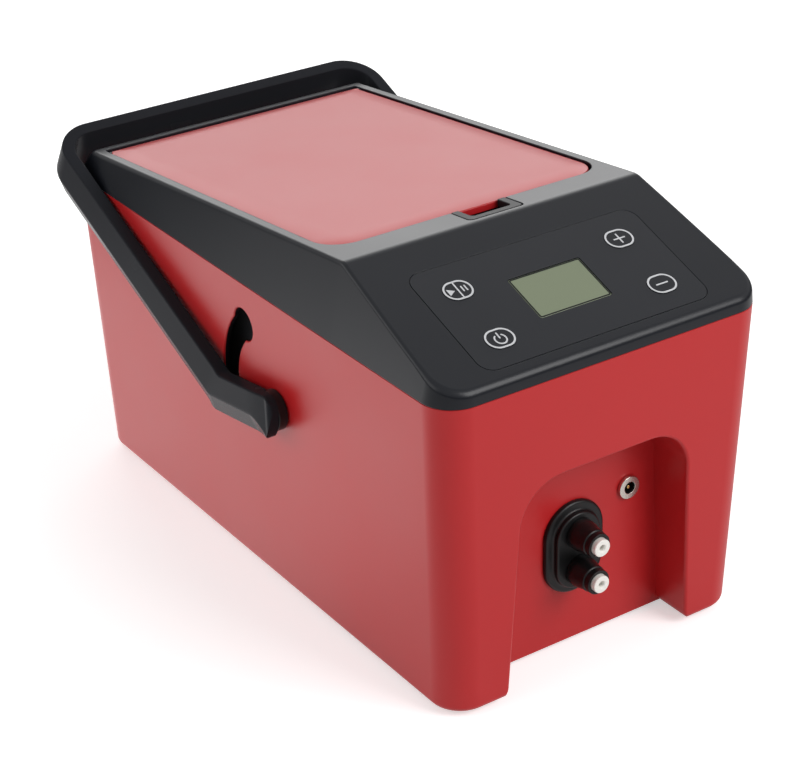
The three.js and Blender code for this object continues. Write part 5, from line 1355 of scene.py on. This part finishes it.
def pale_floor():
    mesh = bpy.data.meshes.new("floor")
    s = FLOOR_HALF
    mesh.from_pydata([(-s, -s, 0), (s, -s, 0), (s, s, 0), (-s, s, 0)], [], [(0, 1, 2, 3)])
    obj = bpy.data.objects.new("floor", mesh)
    bpy.context.collection.objects.link(obj)
    mat = bpy.data.materials.new("pale floor")
    mat.use_nodes = True
    tree = mat.node_tree
    shader = tree.nodes["Principled BSDF"]
    shader.inputs["Roughness"].default_value = 0.9
    shader.inputs["Specular IOR Level"].default_value = 0.1
    shader.inputs["Emission Color"].default_value = (1, 1, 1, 1)
    path, coords = tree.nodes.new("ShaderNodeLightPath"), tree.nodes.new("ShaderNodeTexCoord")
    away = tree.nodes.new("ShaderNodeVectorMath")
    away.operation = "DISTANCE"
    tree.links.new(coords.outputs["Object"], away.inputs[0])
    away.inputs[1].default_value = FLOOR_MIDDLE
    near = fade_node(tree, away.outputs["Value"], *NEAR_FADE)
    far = fade_node(tree, away.outputs["Value"], *FAR_FADE)
    mirrored = value_node(tree, "MULTIPLY", path.outputs["Is Glossy Ray"],
                          value_node(tree, "SUBTRACT", 1.0, value_node(tree, "MAXIMUM", near, far)))
    kept = value_node(tree, "SUBTRACT", 1.0, mirrored)
    tone = tree.nodes.new("ShaderNodeCombineColor")
    level = value_node(tree, "MULTIPLY", kept, FLOOR_TONE)
    for index in range(3):
        tree.links.new(level, tone.inputs[index])
    tree.links.new(tone.outputs[0], shader.inputs["Base Color"])
    seen = value_node(tree, "MAXIMUM", path.outputs["Is Camera Ray"], path.outputs["Is Glossy Ray"])
    glow = value_node(tree, "MULTIPLY", value_node(tree, "MULTIPLY", seen, kept), FLOOR_GLOW)
    extra = value_node(tree, "MULTIPLY", path.outputs["Is Glossy Ray"], near)
    glow = value_node(tree, "ADD", glow, value_node(tree, "MULTIPLY", extra, NEAR_GLOW))
    tree.links.new(glow, shader.inputs["Emission Strength"])
    mesh.materials.append(mat)
    return obj


def white_surround():
    world = bpy.data.worlds.new("white surround")
    bpy.context.scene.world = world
    world.use_nodes = True
    tree = world.node_tree
    tree.nodes.clear()
    path, coords = tree.nodes.new("ShaderNodeLightPath"), tree.nodes.new("ShaderNodeTexCoord")
    split = tree.nodes.new("ShaderNodeSeparateXYZ")
    tree.links.new(coords.outputs["Generated"], split.inputs[0])
    sheen = fade_node(tree, split.outputs["Z"], 0.0, LOW_SKY, FAR_GLOSS, 1.0)
    glossy = value_node(tree, "MULTIPLY", path.outputs["Is Glossy Ray"], sheen)
    clear = value_node(tree, "MAXIMUM", path.outputs["Is Camera Ray"],
                       path.outputs["Is Transmission Ray"])
    seen = value_node(tree, "MAXIMUM", clear, path.outputs["Is Glossy Ray"])
    fill = value_node(tree, "MULTIPLY", value_node(tree, "SUBTRACT", 1.0, seen), FILL)
    level = value_node(tree, "ADD", value_node(tree, "MAXIMUM", clear, glossy), fill)
    back, out = tree.nodes.new("ShaderNodeBackground"), tree.nodes.new("ShaderNodeOutputWorld")
    tree.links.new(level, back.inputs["Strength"])
    tree.links.new(back.outputs[0], out.inputs[0])


pale_floor()
white_surround()
print("floor and surround set")

# %% [markdown]
# One large lamp stands above and in front. Two broad soft cards give the black top and the lid their
# pale sheen by their reflections, and a smaller one draws light along the left edges.

# %% Lamps
def soft_lamp(name, place, target, size, power, tall=None):
    lamp = bpy.data.lights.new(name, "AREA")
    lamp.shape, lamp.size, lamp.size_y = "RECTANGLE", size, tall or size
    lamp.energy = power
    obj = bpy.data.objects.new(name, lamp)
    bpy.context.collection.objects.link(obj)
    obj.location = place
    aim = Vector(target) - Vector(place)
    obj.rotation_euler = aim.to_track_quat("-Z", "Y").to_euler()
    return obj


soft_lamp("front lamp", (0.7, -1.5, 1.2), (0, 0, 0.1), 1.1, 23)
soft_lamp("left card", (-1.5, 0.1, 0.9), (0, 0, 0.1), 1.2, 5.5)
soft_lamp("edge card", (-1.3, 1.05, 0.75), (0, 0, 0.15), 0.7, 3.2)
soft_lamp("rear card", (0.95, 1.55, 0.95), (0, 0, 0.12), 1.7, 13, 1.0)

# %% [markdown]
# The camera stands where the photographer stood. Its place and its three directions were worked out
# from the machine's straight edges in the photograph, and the place is a body point in millimetres.

# %% Camera
CAMERA_AT, CAMERA_LENS, CAMERA_FILM = (-609.71, -920.45, 668.99), 98.58, 36
right = Vector((0.82424, -0.56578, -0.02292))
up = Vector((0.28252, 0.37584, 0.88257))
back = Vector((-0.49073, -0.73392, 0.46962))
cam_data = bpy.data.cameras.new("photo camera")
cam_data.lens, cam_data.sensor_width = CAMERA_LENS, CAMERA_FILM
cam_data.clip_start, cam_data.clip_end = 0.05, 50
camera = bpy.data.objects.new("photo camera", cam_data)
bpy.context.collection.objects.link(camera)
rows = [(right[i], up[i], back[i], spot(*CAMERA_AT)[i]) for i in range(3)]
camera.matrix_world = Matrix([rows[0], rows[1], rows[2], (0, 0, 0, 1)])
bpy.context.scene.camera = camera
bpy.context.scene.view_settings.view_transform = "Standard"
print("camera at", [round(v, 3) for v in camera.location])

# %% [markdown]
# On a smooth-shaded mesh, a large flat face next to a small round takes on some of the round's slope
# and looks like a pillow. Weighting each corner's normal by the area of its faces keeps the flats flat
# and the rounds round. It is the last thing done to each piece's mesh.

# %% Even shading on every piece
def weigh_normals(obj):
    mod = obj.modifiers.new("even", "WEIGHTED_NORMAL")
    mod.keep_sharp, mod.weight, mod.mode = True, 60, "FACE_AREA"
    bake(obj)


own = [obj for obj in bpy.data.objects if obj.type == "MESH" and obj.name != "floor"
       and obj.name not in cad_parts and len(obj.data.polygons) > 0]
for obj in own:
    weigh_normals(obj)
print("pieces shaded evenly:", len(own))
